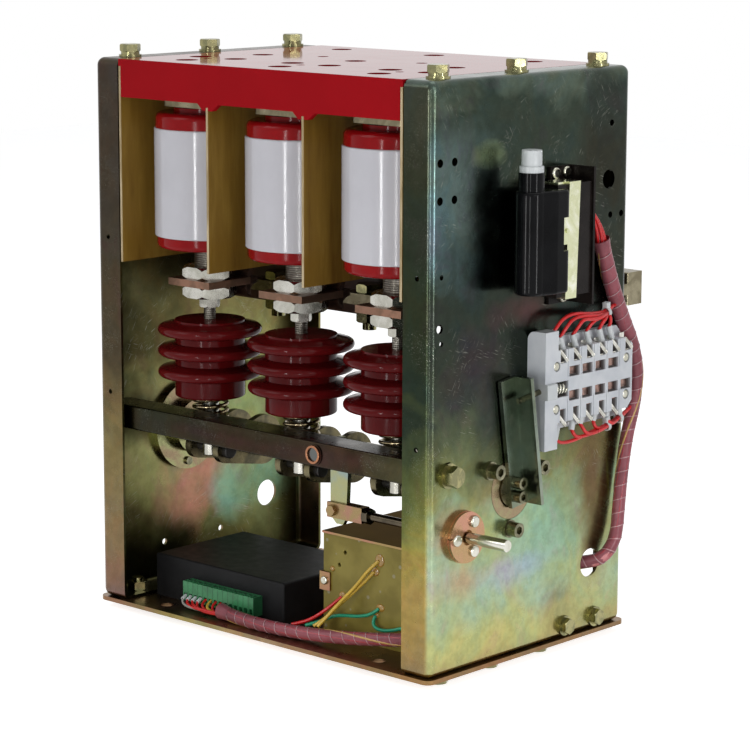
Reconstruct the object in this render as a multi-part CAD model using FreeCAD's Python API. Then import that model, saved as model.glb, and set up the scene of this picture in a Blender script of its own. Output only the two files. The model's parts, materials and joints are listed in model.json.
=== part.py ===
import FreeCAD, Part
import math
import os

# Vacuum circuit breaker, open frame, three poles, shown open.
# Millimetres. X runs to the right, Y to the back, Z up. The origin is on the underside
# of the base plate, in the middle of the cabinet.

V = FreeCAD.Vector
AX = V(1, 0, 0)
AY = V(0, 1, 0)
AZ = V(0, 0, 1)

# Cabinet: two folded side pans on a base plate, under a moulded top board
WIDTH = 316.0
DEPTH = 205.0
SHEET = 2.0
BEND_RADIUS = 5.5
FLANGE = 24.0
BASE_THICKNESS = 3.0
BASE_SIDE_LIP = 1.6
BASE_FRONT_LIP = 1.7
BASE_REAR_LIP = 3.3
BASE_CORNER = 6.0
BASE_HOLE_X = 103.0
BASE_HOLE_Y = 90.0
BASE_HOLE_RADIUS = 4.5
BOARD_WALL = 6.0
LIP_WALL = 4.0
LIP_HEIGHT = 26.5
LIP_GAP = 0.3
BOSS_RADIUS = 26.0
REAR_BOSS_RADIUS = 10.0
TAB_DEPTH = 4.6
TAB_NOTCH = 2.2
MARGIN_X = 152.0
MARGIN_Y = 96.5
BOARD_SPLIT_Y = 50.0
FIXING_HOLE_RADIUS = 4.0
FIXING_CIRCLE = 20.0
FIXING_SINK = 18.0
FIXING_SINK_RADIUS = 8.0
ACCESS_RADIUS = 7.5
CLEARANCE = 0.3
FIT = 0.05

# Phase barriers and the board behind the poles
BARRIER_THICKNESS = 2.0
INNER_BARRIER_X = 45.0
OUTER_BARRIER_X = 132.0
BARRIER_REAR_Y = 98.0
GROOVE_DEPTH = 3.0
BARRIER_PLAY = 0.15
BARRIER_INSET = 0.2
REAR_BOARD_Y = 24.0
REAR_BOARD_THICKNESS = 10.0
BRACKET_LEG = 22.0

# Poles
POLE_PITCH = 90.0
POLE_Y = -57.5
BOTTLE_RADIUS = 38.0
BOTTLE_LENGTH = 76.0
END_DISC_RADIUS = 31.0
END_DISC_HEIGHT = 6.5
FIXED_STEM_RADIUS = 13.0
CAP_RADIUS = 37.0
CAP_HEIGHT = 11.0
CAP_COLLAR_RADIUS = 24.5
LOWER_CAP_HEIGHT = 8.5
BOTTLE_BORE_DEPTH = 24.0
TERMINAL_THICKNESS = 8.0
TERMINAL_WIDTH = 44.0
TERMINAL_FRONT_Y = -80.0
TERMINAL_REAR_Y = 95.0
TERMINAL_BOLT_Y = 79.0
TERMINAL_HOLE_RADIUS = 6.5
TERMINAL_SCREW_Y = -3.0
STEM_RADIUS = 10.5
STUD_RADIUS = 4.25
STUD_DEPTH = 9.0
PAD_WIDTH = 41.0
PAD_THICKNESS = 5.0
STEM_NUT_FLATS = 34.0
STEM_NUT_HEIGHT = 8.5
LOCK_NUT_FLATS = 13.0
LOCK_NUT_HEIGHT = 6.5
INSULATOR_RADIUS = 25.0
RIB_RADIUS = 37.0
RIB_PITCH = 15.2
RIB_COUNT = 3
RIB_TIP = 3.4
RIB_ROOT = 5.6
PULL_ROD_RADIUS = 6.0
PULL_ROD_GRIP = 18.0
SPRING_RADIUS = 11.8
SPRING_WIRE = 1.4
SPRING_TURNS = 4.0
SEAT_WASHER_RADIUS = 13.6
SEAT_WASHER_THICKNESS = 2.0
SEAT_NUT_FLATS = 18.0
SEAT_NUT_HEIGHT = 6.0

# Lower terminals and the laminated links that feed the moving stems
BAR_WIDTH = 36.0
BAR_THICKNESS = 8.0
BAR_FRONT_Y = 1.0
END_BLOCK_FRONT_Y = 169.0
END_BLOCK_DEPTH = 18.0
END_BLOCK_HEIGHT = 24.0
END_BLOCK_HOLE_RADIUS = 5.5
LINK_WIDTH = 36.0
LINK_BOLT_Y = 12.0
LINK_BOLT_RADIUS = 5.0
LINK_PAD_LENGTH = 21.0
LINK_BEND = 13.0
LINK_TURN = 60.0

# Drive: one shaft across the cabinet, lifting the three pull rods by pairs of cranks
SHAFT_Y = -20.0
SHAFT_RADIUS = 12.0
SHAFT_PROUD = 1.0
CRANK_THICKNESS = 5.0
CRANK_GAP = 11.5
CRANK_EYE_RADIUS = 18.0
CRANK_NOSE_RADIUS = 9.5
CRANK_PIN_RADIUS = 3.0
PIVOT_PLAY = 0.35
MAGNET_ARM_EYE = 17.0
MAGNET_ARM_NOSE = 9.0
PIN_HEAD_RADIUS = 5.5
PIN_HEAD_LENGTH = 4.5
BEARING_SPIGOT_RADIUS = 20.5
BEARING_FLANGE_RADIUS = 33.0
BEARING_FLANGE_THICKNESS = 5.0
BEARING_HUB_RADIUS = 20.0
BEARING_HUB_LENGTH = 8.0
BEARING_SCREW_CIRCLE = 27.0
BEARING_SCREW_ANGLE = 25.0
LEVER_LEAN = 8.5
LEVER_THICKNESS = 3.0
LEVER_TOP = 76.0
LEVER_BOTTOM = 12.0
LEVER_WEB = 17.0
LEVER_EDGE = 5.5
LEVER_FLANGE = 16.5
LEVER_SCREW_SPACING = 9.4
LEVER_SCREW_RADIUS = 2.5
LEVER_SCREW_LENGTH = 12.0
ADJUSTER_GAP = 0.3
ADJUSTER_HEAD = 6.0
ADJUSTER_RADIUS = 2.0
ADJUSTER_X = 168.5

# Cross beam in front of the pull rods, with the trip lever behind it
BEAM_Y = -84.5
BEAM_DEPTH = 24.0
BEAM_HEIGHT = 17.0
BEAM_EDGE = 1.5
BEAM_WALL = 2.0
BEAM_PLUG = 14.0
BEAM_SLOT = 3.5
BEAM_SLOT_PLAY = 1.5
BUSH_X = 49.4
BUSH_RADIUS = 5.0
BUSH_RIM_RADIUS = 7.5
BUSH_RIM = 0.8
TRIP_LEVER_THICKNESS = 3.5
TRIP_LEVER_TOP_WIDTH = 17.0
TRIP_LEVER_BOTTOM_WIDTH = 14.0
TRIP_LEVER_GAP = 1.2
CLEVIS_LEFT = 5.2
CLEVIS_LENGTH = 32.0
CLEVIS_HEIGHT = 10.6
CLEVIS_WALL = 2.0
CLEVIS_INSIDE = 4.1
TRIP_THREAD_RADIUS = 3.0
TRIP_ROD_RADIUS = 4.0
TRIP_SHANK_RADIUS = 3.75
TRIP_ROD_PUSH = 20.0
TRIP_ROD_STEP_X = 136.0
TRIP_ROD_OUT = 34.0
CLEVIS_PIN_SHIFT = 4.5
CLEVIS_PIN_RADIUS = 2.0
SLOT_REACH = 1.2
GUIDE_RADIUS = 17.5
GUIDE_LAYER = 2.25
GUIDE_SCREW_CIRCLE = 11.5
GUIDE_SLIT = 0.8
GUIDE_COLLAR_RADIUS = 7.0
GUIDE_COLLAR_LENGTH = 8.0

# Auxiliary switch on the right side plate
SWITCH_FRONT_Y = -5.0
SWITCH_LENGTH = 94.5
SWITCH_END_LENGTH = 13.5
SWITCH_DEPTH = 15.5
SWITCH_BASE_DEPTH = 5.0
SWITCH_CORNER = 6.0
TERMINAL_COUNT = 6
TERMINAL_PITCH = 14.1
FIRST_TERMINAL_Y = 14.0
LAST_LOWER_Y = 80.0
SLIDER_HEIGHT = 10.6
SLIDER_FRONT_LENGTH = 10.0
SLIDER_PROUD = 2.5
SLIDER_ROD_RADIUS = 2.4
SLIDER_STROKE = 6.8
SLIDER_ROD_LENGTH = 30.0
SWITCH_TAPER = 5.0
NICHE_HEIGHT = 9.0
NICHE_WIDTH = 6.0
NICHE_DEPTH = 6.5
WINDOW_SHIFT = 12.0
WINDOW_WIDTH = 11.0
WINDOW_HEIGHT = 7.0
WINDOW_DEPTH = 4.0
WINDOW_UP = 11.0
WINDOW_DOWN = 5.5
SCREW_SINK_RADIUS = 3.4
CHANNEL_FLOOR = 5.2
SPRING_WALL_Y = 19.5
SPRING_WALL = 2.0
AUX_SPRING_RADIUS = 4.2
AUX_SPRING_WIRE = 0.75
AUX_SPRING_TURNS = 4.0
CLIP_THICKNESS = 0.8
CLIP_WIDTH = 5.0
CLIP_OUT = 2.5

# Release: potted coil with a neck, on a black bracket at the right side plate
RELEASE_X = 177.0
RELEASE_Y = -26.5
RELEASE_ROUND = 10.5
RELEASE_INNER_X = 163.0
RELEASE_OUTER_X = 190.5
RELEASE_BACK_Y = -1.0
RELEASE_CORNER = 5.0
NECK_RADIUS = 8.6
PLUG_COLLAR_RADIUS = 8.0
PLUG_COLLAR_HEIGHT = 4.0
PLUG_RADIUS = 6.7
BLACK_BRACKET_Y = 14.0
BLACK_BRACKET_SHEET = 2.0
BLACK_BRACKET_OUT = 37.0
BLACK_BRACKET_FOOT = 22.0
YOKE_OUTER_X = 180.0
CLIP_SHEET = 1.5
CLIP_FACE = 11.5
CLIP_TAB = 7.0
CLIP_FRONT_Y = 6.5
CLIP_LEAN = 3.0
RIVET_RADIUS = 1.6

# Floor of the cabinet: control box on the left, closing magnet on the right
CONTROL_LEFT = -131.0
CONTROL_WIDTH = 130.0
CONTROL_FRONT_Y = -74.5
CONTROL_DEPTH = 90.0
CONTROL_HEIGHT = 31.0
CONTROL_EDGE = 2.0
WAY_COUNT = 14
WAY_PITCH = 5.08
CONNECTOR_LEFT = -93.0
CONNECTOR_DEPTH = 9.0
CONNECTOR_HEIGHT = 14.0
CONNECTOR_Z = 7.5
MAGNET_LEFT = 28.5
MAGNET_WIDTH = 98.0
MAGNET_FRONT_Y = -65.0
MAGNET_REAR_Y = 60.0
MAGNET_TOP = 76.0
MAGNET_SHEET = 1.5
MAGNET_LIP = 1.6
TAB_SHIFT = 2.5
TAB_REACH = 7.0
TAB_BOTTOM = 34.0
TAB_TOP = 47.0
TAB_SCREW_X = 31.0
TAB_SCREW_Z = 41.0
CIRCUIT_THICKNESS = 1.6
MAGNET_X = 88.0
MAGNET_Y = 22.0
COIL_WIDTH = 68.0
COIL_DEPTH = 66.0
COIL_HEIGHT = 66.0
CORE_RADIUS = 14.0
CORE_BORE_BOTTOM = 20.0
CORE_STROKE_ROOM = 4.8
CORE_TOP = 66.0
PLUNGER_ROD_RADIUS = 5.0
PLUNGER_EYE_WIDTH = 6.4
PLUNGER_EYE_DEPTH = 16.0
MAGNET_ARM_THICKNESS = 4.5
MAGNET_ARM_GAP = 3.5

# Holes
CABLE_HOLE_RADIUS = 10.0
CABLE_HOLE_Y = 65.5
CABLE_HOLE_Z = 51.0
FRONT_HOLE_X = 146.0
FRONT_HOLE_RADIUS = 1.75

# Fasteners
TOP_BOLT_X = 144.0
TOP_BOLT_Y = (-81.0, -3.0, 83.0)
BASE_BOLT_X = 145.5
BASE_BOLT_Y = (-79.0, -27.5, 25.0)
EARTH_BOLT_Y = (38.5, 71.4)
EARTH_BOLT_Z = 11.7

# Heights, from the closing magnet up through a pole to the top board
ARM_ROOM = 42.0
CRANK_DROP = 2.3
PULL_ROD_EYE = 5.2
PULL_ROD_TAIL = 21.0
SPRING_LENGTH = 22.3
INSULATOR_HEIGHT = 55.0
TOP_RIB_DROP = 7.0
STUD_LENGTH = 15.2
STEM_TAIL = 14.5
BAR_DROP = 13.0
PAD_DROP = 30.5
STEM_ENTRY = 9.0
FIXED_STEM_LENGTH = 14.5
BOSS_HEIGHT = 17.0
SHAFT_Z = MAGNET_TOP + ARM_ROOM
CRANK_PIN_Z = SHAFT_Z - CRANK_DROP
PULL_ROD_BOTTOM = CRANK_PIN_Z - PULL_ROD_EYE
SPRING_SEAT_Z = PULL_ROD_BOTTOM + PULL_ROD_TAIL
INSULATOR_BOTTOM = SPRING_SEAT_Z + SPRING_LENGTH
INSULATOR_TOP = INSULATOR_BOTTOM + INSULATOR_HEIGHT
TOP_RIB_Z = INSULATOR_TOP - TOP_RIB_DROP
STEM_BOTTOM = INSULATOR_TOP + STUD_LENGTH
PAD_TOP = STEM_BOTTOM + STEM_TAIL
BAR_MIDDLE_Z = PAD_TOP - BAR_DROP
BOTTLE_BOTTOM = PAD_TOP + PAD_DROP
STEM_TOP = BOTTLE_BOTTOM + STEM_ENTRY
TERMINAL_UNDERSIDE = BOTTLE_BOTTOM + BOTTLE_LENGTH + FIXED_STEM_LENGTH
TERMINAL_TOP = TERMINAL_UNDERSIDE + TERMINAL_THICKNESS
BOARD_BOTTOM = TERMINAL_TOP + BOSS_HEIGHT
BOARD_TOP = BOARD_BOTTOM + BOARD_WALL + SHEET
HEIGHT = BOARD_TOP

# Heights of what hangs beside the poles
BARRIER_DROP = 19.0
REAR_BOARD_DROP = 15.5
REAR_BOARD_LAP = 6.0
BEAM_RISE = 19.0
TRIP_DROP = 43.0
TRIP_LEVER_TAIL = 9.5
ADJUSTER_RISE = 64.5
SWITCH_END_HALF = 40.0
SWITCH_BASE_DOWN = 29.5
SWITCH_BASE_UP = 33.5
SWITCH_BODY_DOWN = 22.5
SWITCH_BODY_UP = 26.5
RELEASE_HUNG = 141.5
RELEASE_HEIGHT = 68.0
NECK_LENGTH = 12.0
PLUG_LENGTH = 14.5
BRACKET_DOWN = 13.0
BRACKET_UP = 11.0
CLIP_TAB_RISE = 30.0
CLIP_TAB_HEIGHT = 18.0
YOKE_DOWN = 5.0
YOKE_UP = 1.5
BARRIER_BOTTOM = BOTTLE_BOTTOM - BARRIER_DROP
REAR_BOARD_BOTTOM = BAR_MIDDLE_Z - REAR_BOARD_DROP
REAR_BOARD_TOP = BARRIER_BOTTOM + REAR_BOARD_LAP
BEAM_Z = SHAFT_Z + BEAM_RISE
TRIP_Z = BEAM_Z - TRIP_DROP
TRIP_LEVER_BOTTOM_Z = TRIP_Z - TRIP_LEVER_TAIL
ADJUSTER_Z = SHAFT_Z + ADJUSTER_RISE
SWITCH_END_BOTTOM = ADJUSTER_Z - SWITCH_END_HALF
SWITCH_END_TOP = ADJUSTER_Z + SWITCH_END_HALF
SWITCH_BASE_BOTTOM = ADJUSTER_Z - SWITCH_BASE_DOWN
SWITCH_BASE_TOP = ADJUSTER_Z + SWITCH_BASE_UP
SWITCH_BODY_BOTTOM = ADJUSTER_Z - SWITCH_BODY_DOWN
SWITCH_BODY_TOP = ADJUSTER_Z + SWITCH_BODY_UP
RELEASE_BOTTOM = HEIGHT - RELEASE_HUNG
RELEASE_TOP = RELEASE_BOTTOM + RELEASE_HEIGHT
NECK_TOP = RELEASE_TOP + NECK_LENGTH
PLUG_TOP = NECK_TOP + PLUG_LENGTH
BLACK_BRACKET_BOTTOM = RELEASE_BOTTOM - BRACKET_DOWN
BLACK_BRACKET_TOP = RELEASE_TOP + BRACKET_UP
CLIP_TAB_BOTTOM = RELEASE_BOTTOM + CLIP_TAB_RISE
CLIP_TAB_TOP = CLIP_TAB_BOTTOM + CLIP_TAB_HEIGHT
YOKE_BOTTOM = RELEASE_BOTTOM - YOKE_DOWN
YOKE_TOP = RELEASE_TOP + YOKE_UP
FRONT_HOLE_Z = (HEIGHT - 237.5, HEIGHT - 126.0)
BLACK_SCREWS = (
    (18.5, BLACK_BRACKET_TOP - 4.5),
    (30.0, BLACK_BRACKET_TOP - 4.5),
    (28.0, BLACK_BRACKET_BOTTOM + 4.0),
)
SWITCH_SCREWS = (
    (7.3, ADJUSTER_Z + 16.0),
    (7.3, ADJUSTER_Z - 13.0),
    (83.0, ADJUSTER_Z + 12.5),
    (83.0, ADJUSTER_Z - 13.0),
)

# Harness, in the order of its route from the connector to the release
HARNESS_RADIUS = 4.4
HARNESS_ROUTE = (
    (-50.0, -89.5, 9.0),
    (-24.0, -93.2, 7.8),
    (4.0, -93.0, 7.8),
    (34.0, -90.5, 8.4),
    (64.0, -86.0, 10.6),
    (92.0, -81.5, 13.8),
    (118.0, -77.5, 17.5),
    (135.0, -68.0, 20.5),
    (143.0, -48.0, 24.0),
    (144.5, -22.0, 29.0),
    (144.0, 5.0, 35.5),
    (141.5, 31.0, 42.5),
    (142.0, 53.0, 48.5),
    (152.0, 66.0, 50.4),
    (164.0, 72.5, 53.0),
    (166.4, 84.5, 65.0),
    (165.0, 92.0, 87.0),
    (164.2, 97.5, 112.0),
    (164.0, 103.5, 138.0),
    (164.6, 110.8, 160.0),
    (165.0, 112.0, 181.0),
    (164.5, 104.5, 201.0),
    (164.0, 91.0, 220.0),
    (163.6, 78.5, 242.0),
    (163.6, 69.0, 266.0),
    (163.8, 60.5, 287.0),
    (164.2, 48.0, 300.0),
)

# Thin leads, each with its radius and its route
LEAD_RADIUS = 1.1
LEADS = (
    ((80.9, -66.2, 63.3), (75.5, -70.5, 57.0), (66.5, -73.0, 44.5), (55.0, -76.5, 32.0),
     (47.5, -81.5, 21.5), (43.0, -86.2, 14.2)),
    ((76.9, -66.2, 55.1), (72.0, -69.5, 48.5), (62.5, -71.5, 39.0), (51.0, -74.5, 28.0),
     (44.0, -80.0, 18.5), (38.5, -85.6, 13.6)),
    ((46.9, -66.2, 32.0), (40.5, -69.5, 25.5), (34.5, -74.0, 19.5), (27.0, -81.0, 13.5),
     (18.0, -86.3, 11.0)),
    ((81.4, -66.2, 30.1), (77.0, -69.0, 25.5), (66.0, -70.0, 22.5), (54.0, -70.5, 21.0),
     (44.5, -72.5, 19.5), (36.5, -79.5, 14.5), (30.0, -85.0, 12.3)),
    ((78.2, -66.2, 24.6), (77.5, -69.5, 19.5), (86.0, -71.5, 16.8), (97.0, -71.0, 18.5),
     (105.0, -68.5, 21.5), (116.0, -66.8, 23.0)),
)


def box(x0, y0, z0, x1, y1, z1):
    """Box between two corners."""
    return Part.makeBox(x1 - x0, y1 - y0, z1 - z0, V(x0, y0, z0))


def rod(start, axis, radius, length):
    """Round bar from a point along an axis."""
    return Part.makeCylinder(radius, length, V(*start), axis)


def tube(start, axis, outer, inner, length):
    """Round tube from a point along an axis."""
    return rod(start, axis, outer, length).cut(rod(start, axis, inner, length))


def hexagon(start, axis, flats, height, chamfer=0.12):
    """Hexagonal prism with its outer corners turned off at both ends."""
    corner = flats / math.sqrt(3.0)
    points = []
    for step in range(7):
        angle = math.radians(60.0 * step)
        points.append(V(corner * math.cos(angle), corner * math.sin(angle), 0))
    prism = Part.Face(Part.makePolygon(points)).extrude(V(0, 0, height))
    cut = chamfer * flats * 0.5
    limit = Part.makeCone(corner - cut, corner, cut, V(0, 0, 0), AZ)
    limit = limit.fuse(Part.makeCylinder(corner, height - 2 * cut, V(0, 0, cut), AZ))
    limit = limit.fuse(Part.makeCone(corner, corner - cut, cut, V(0, 0, height - cut), AZ))
    shape = prism.common(limit).removeSplitter()
    turn = FreeCAD.Rotation(AZ, axis)
    shape.Placement = FreeCAD.Placement(V(*start), turn)
    return shape


def nut(start, axis, flats, height, bore):
    """Hexagonal nut."""
    return hexagon(start, axis, flats, height).cut(rod(start, axis, bore, height))


def along(start, axis, distance):
    """Point at a distance from another along an axis."""
    point = V(*start) + axis * distance
    return (point.x, point.y, point.z)


def hex_bolt(seat, axis, flats, head, radius, length, washers):
    """Hex bolt whose head points along the axis, with washers of (radius, thickness)."""
    pieces = []
    lift = 0.0
    for washer_radius, thickness in washers:
        pieces.append(tube(along(seat, axis, lift), axis, washer_radius, radius + FIT, thickness))
        lift += thickness
    bolt = hexagon(along(seat, axis, lift), axis, flats, head)
    bolt = bolt.fuse(rod(along(seat, axis, lift), axis * -1.0, radius, length + lift))
    pieces.append(bolt.removeSplitter())
    return pieces


def socket_screw(seat, axis, radius, length, washers):
    """Cap screw with a hexagon socket, its head pointing along the axis."""
    pieces = []
    lift = 0.0
    for washer_radius, thickness in washers:
        pieces.append(tube(along(seat, axis, lift), axis, washer_radius, radius + FIT, thickness))
        lift += thickness
    head = rod(along(seat, axis, lift), axis, 1.67 * radius, 2 * radius)
    socket = hexagon(along(seat, axis, lift + radius), axis, 1.7 * radius, radius + 1.0, 0.02)
    head = head.cut(socket).fuse(rod(along(seat, axis, lift), axis * -1.0, radius, length + lift))
    pieces.append(head.removeSplitter())
    return pieces


def pan_screw(seat, axis, radius, length):
    """Pan-head screw, its head pointing along the axis."""
    head_radius = 2.0 * radius
    head = rod(seat, axis, head_radius, 1.2 * radius)
    head = head.makeFillet(0.7 * radius, [far_edge(head, along(seat, axis, 1.2 * radius))])
    return head.fuse(rod(seat, axis * -1.0, radius, length)).removeSplitter()


def far_edge(shape, centre):
    """Round edge of a shape whose middle is nearest a point."""
    best = None
    for edge in shape.Edges:
        if edge.Curve.TypeId == "Part::GeomCircle":
            gap = edge.Curve.Center.distanceToPoint(V(*centre))
            if best is None or gap < best[0]:
                best = (gap, edge)
    return best[1]


def revolve(points, centre_x, centre_y):
    """Solid of revolution about a vertical axis from (radius, height) points."""
    wire = [V(radius, 0, height) for radius, height in points]
    wire.append(wire[0])
    shape = Part.Face(Part.makePolygon(wire)).revolve(V(0, 0, 0), AZ, 360)
    shape.translate(V(centre_x, centre_y, 0))
    return shape


def extrude_yz(points, x0, x1):
    """Flat outline of (y, z) points, extruded along X."""
    wire = [V(x0, y, z) for y, z in points]
    wire.append(wire[0])
    return Part.Face(Part.makePolygon(wire)).extrude(V(x1 - x0, 0, 0))


def extrude_xy(points, z0, z1):
    """Flat outline of (x, y) points, extruded along Z."""
    wire = [V(x, y, z0) for x, y in points]
    wire.append(wire[0])
    return Part.Face(Part.makePolygon(wire)).extrude(V(0, 0, z1 - z0))


def extrude_xz(points, y0, y1):
    """Flat outline of (x, z) points, extruded along Y."""
    wire = [V(x, y0, z) for x, z in points]
    wire.append(wire[0])
    return Part.Face(Part.makePolygon(wire)).extrude(V(0, y1 - y0, 0))


def vertical_edges(shape, test):
    """Straight edges along Z whose middle passes a test of (x, y)."""
    found = []
    for edge in shape.Edges:
        low, high = edge.BoundBox.ZMin, edge.BoundBox.ZMax
        if edge.BoundBox.XLength < 0.01 and edge.BoundBox.YLength < 0.01 and high - low > 1.0:
            if test(edge.BoundBox.XMin, edge.BoundBox.YMin):
                found.append(edge)
    return found


def helix_spring(centre, axis, radius, wire, turns, length):
    """Compression spring: a coil between two flat rings."""
    rise = length - 2.0 * wire
    path = Part.makeHelix(rise / turns, rise, radius)
    profile = Part.Wire([Part.makeCircle(wire, V(radius, 0, 0), AY)])
    sweep = Part.Wire(path).makePipeShell([profile], True, True)
    sweep.translate(V(0, 0, wire))
    turn = FreeCAD.Rotation(AZ, axis)
    sweep.Placement = FreeCAD.Placement(V(*centre), turn).multiply(sweep.Placement)
    return sweep


def cord(points, radius):
    """Tube along straight runs joined by tangent arcs, with its shortest arc radius."""
    route = [V(*point) for point in points]
    edges = []
    last = route[0]
    smallest = None
    for index in range(1, len(route) - 1):
        before = route[index] - route[index - 1]
        after = route[index + 1] - route[index]
        turn = before.getAngle(after)
        cut = 0.45 * min(before.Length, after.Length)
        bend = cut / math.tan(turn / 2.0)
        smallest = bend if smallest is None else min(smallest, bend)
        before.normalize()
        after.normalize()
        start = route[index] - before * cut
        end = route[index] + after * cut
        inward = after - before
        inward.normalize()
        middle = route[index] + inward * (bend / math.cos(turn / 2.0) - bend)
        edges.append(Part.LineSegment(last, start).toShape())
        edges.append(Part.Arc(start, middle, end).toShape())
        last = end
    edges.append(Part.LineSegment(last, route[-1]).toShape())
    path = Part.Wire(edges)
    direction = route[1] - route[0]
    profile = Part.Wire([Part.makeCircle(radius, route[0], direction)])
    shape = path.makePipeShell([profile], True, False)
    return shape, smallest, path.Length


def save(name, pieces):
    """Write one node as a STEP file."""
    if not isinstance(pieces, (list, tuple)):
        pieces = [pieces]
    solids = []
    for piece in pieces:
        solids.extend(piece.Solids)
    for solid in solids:
        if not solid.isValid() or solid.Volume <= 0:
            print("check", name, solid.isValid(), solid.Volume)
    shape = solids[0] if len(solids) == 1 else Part.makeCompound(solids)
    shape.exportStep("parts/" + name + ".step")


os.makedirs("parts", exist_ok=True)

HALF_WIDTH = WIDTH / 2.0
HALF_DEPTH = DEPTH / 2.0
POLES = (-POLE_PITCH, 0.0, POLE_PITCH)
INNER_X = HALF_WIDTH - SHEET
OPEN_X = HALF_WIDTH - FLANGE
BARS = [BAR_MIDDLE_Z - BAR_THICKNESS / 2.0, BAR_MIDDLE_Z + BAR_THICKNESS / 2.0]
M8 = 4.0
M6 = 3.0
M4 = 2.0
M3 = 1.5
TRIP_LEVER_Y = BEAM_Y + BEAM_DEPTH / 2.0 + TRIP_LEVER_GAP
TRIP_Y = TRIP_LEVER_Y + TRIP_LEVER_THICKNESS / 2.0
BOARD_SCREW_X = INNER_X - 12.0
BOARD_SCREW_Z = (REAR_BOARD_BOTTOM + 10.0, REAR_BOARD_TOP - 10.0)
BEARING_SCREWS = []
for step in range(3):
    angle = math.radians(BEARING_SCREW_ANGLE + 120.0 * step)
    BEARING_SCREWS.append((
        SHAFT_Y + BEARING_SCREW_CIRCLE * math.cos(angle),
        SHAFT_Z + BEARING_SCREW_CIRCLE * math.sin(angle),
    ))
GUIDE_SCREWS = []
for step in range(3):
    angle = math.radians(60.0 + 120.0 * step)
    GUIDE_SCREWS.append((
        TRIP_Y + GUIDE_SCREW_CIRCLE * math.cos(angle),
        TRIP_Z + GUIDE_SCREW_CIRCLE * math.sin(angle),
    ))


# Base plate
base = box(
    -HALF_WIDTH - BASE_SIDE_LIP, -HALF_DEPTH - BASE_FRONT_LIP, 0,
    HALF_WIDTH + BASE_SIDE_LIP, HALF_DEPTH + BASE_REAR_LIP, BASE_THICKNESS,
)
base = base.makeFillet(BASE_CORNER, vertical_edges(base, lambda x, y: True))
for side in (-1, 1):
    for back in (-1, 1):
        base = base.cut(rod(
            (side * BASE_HOLE_X, back * BASE_HOLE_Y, -1), AZ, BASE_HOLE_RADIUS, BASE_THICKNESS + 2,
        ))
    for y in BASE_BOLT_Y:
        base = base.cut(rod((side * BASE_BOLT_X, y, -1), AZ, M8 + CLEARANCE, BASE_THICKNESS + 2))
save("base_plate", base)


# Side plates, folded in on all four sides
def pan(side):
    """Side plate with its folded flanges, before any holes."""
    outer = box(OPEN_X, -HALF_DEPTH, BASE_THICKNESS, HALF_WIDTH, HALF_DEPTH, HEIGHT)
    inner = box(
        OPEN_X - 1, -HALF_DEPTH + SHEET, BASE_THICKNESS + SHEET,
        INNER_X, HALF_DEPTH - SHEET, HEIGHT - SHEET,
    )
    outer = round_pan(outer, HALF_WIDTH, BEND_RADIUS)
    inner = round_pan(inner, INNER_X, BEND_RADIUS - SHEET)
    shape = outer.cut(inner)
    bracket = box(
        INNER_X - 0.5 - SHEET, REAR_BOARD_Y + REAR_BOARD_THICKNESS, REAR_BOARD_BOTTOM,
        INNER_X, REAR_BOARD_Y + REAR_BOARD_THICKNESS + BRACKET_LEG, REAR_BOARD_TOP,
    )
    bracket = bracket.fuse(box(
        INNER_X - BRACKET_LEG, REAR_BOARD_Y + REAR_BOARD_THICKNESS, REAR_BOARD_BOTTOM,
        INNER_X, REAR_BOARD_Y + REAR_BOARD_THICKNESS + SHEET, REAR_BOARD_TOP,
    ))
    for z in BOARD_SCREW_Z:
        bracket = bracket.cut(rod(
            (BOARD_SCREW_X, REAR_BOARD_Y + REAR_BOARD_THICKNESS - 1, z), AY, M6 + CLEARANCE, 4,
        ))
    shape = shape.fuse(bracket).removeSplitter()
    if side < 0:
        shape = shape.mirror(V(0, 0, 0), AX)
    return shape


def round_pan(shape, face_x, radius):
    """Round the edges of the closed face of a pan and its four long corners."""
    chosen = []
    for edge in shape.Edges:
        limits = edge.BoundBox
        on_face = abs(limits.XMin - face_x) < 0.01 and abs(limits.XMax - face_x) < 0.01
        if on_face or limits.XLength > 1.0:
            chosen.append(edge)
    return shape.makeFillet(radius, chosen)


def flanges_apart(shape, side):
    """The face of a pan and each of its flanges, parted where the bends begin."""
    line = HALF_WIDTH - BEND_RADIUS
    rim = HALF_DEPTH - BEND_RADIUS
    pieces = []
    for x0, x1, y0, y1 in (
        (line, HALF_WIDTH, -HALF_DEPTH, HALF_DEPTH), (OPEN_X - 1, line, -HALF_DEPTH, -rim),
        (OPEN_X - 1, line, -rim, rim), (OPEN_X - 1, line, rim, HALF_DEPTH),
    ):
        left, right = sorted((side * x0, side * x1))
        pieces.extend(shape.common(box(left, y0, 0, right, y1, HEIGHT + 1)).Solids)
    return pieces


left_plate = pan(-1)
right_plate = pan(1)
PLATE_HOLES = [
    (TRIP_Y, TRIP_Z, GUIDE_COLLAR_RADIUS + CLEARANCE),
    (SHAFT_Y, SHAFT_Z, BEARING_SPIGOT_RADIUS + CLEARANCE),
    (CABLE_HOLE_Y, CABLE_HOLE_Z, CABLE_HOLE_RADIUS),
    (79.5, HEIGHT - 76.0, 6.5),
    (81.9, HEIGHT - 37.9, 2.25),
    (81.9, HEIGHT - 100.5, 2.25),
    (94.0, HEIGHT - 100.5, 2.25),
    (-94.5, HEIGHT - 52.2, 2.75),
    (-80.5, HEIGHT - 52.2, 2.75),
    (-94.5, HEIGHT - 76.3, 2.75),
    (-80.5, HEIGHT - 76.3, 2.75),
    (-92.4, HEIGHT - 125.2, 1.75),
    (-92.2, HEIGHT - 168.1, 1.75),
    (-93.8, HEIGHT - 158.3, 3.0),
]
for y, z, radius in PLATE_HOLES:
    right_plate = right_plate.cut(rod((INNER_X - 1, y, z), AX, radius, SHEET + 2))
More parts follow.
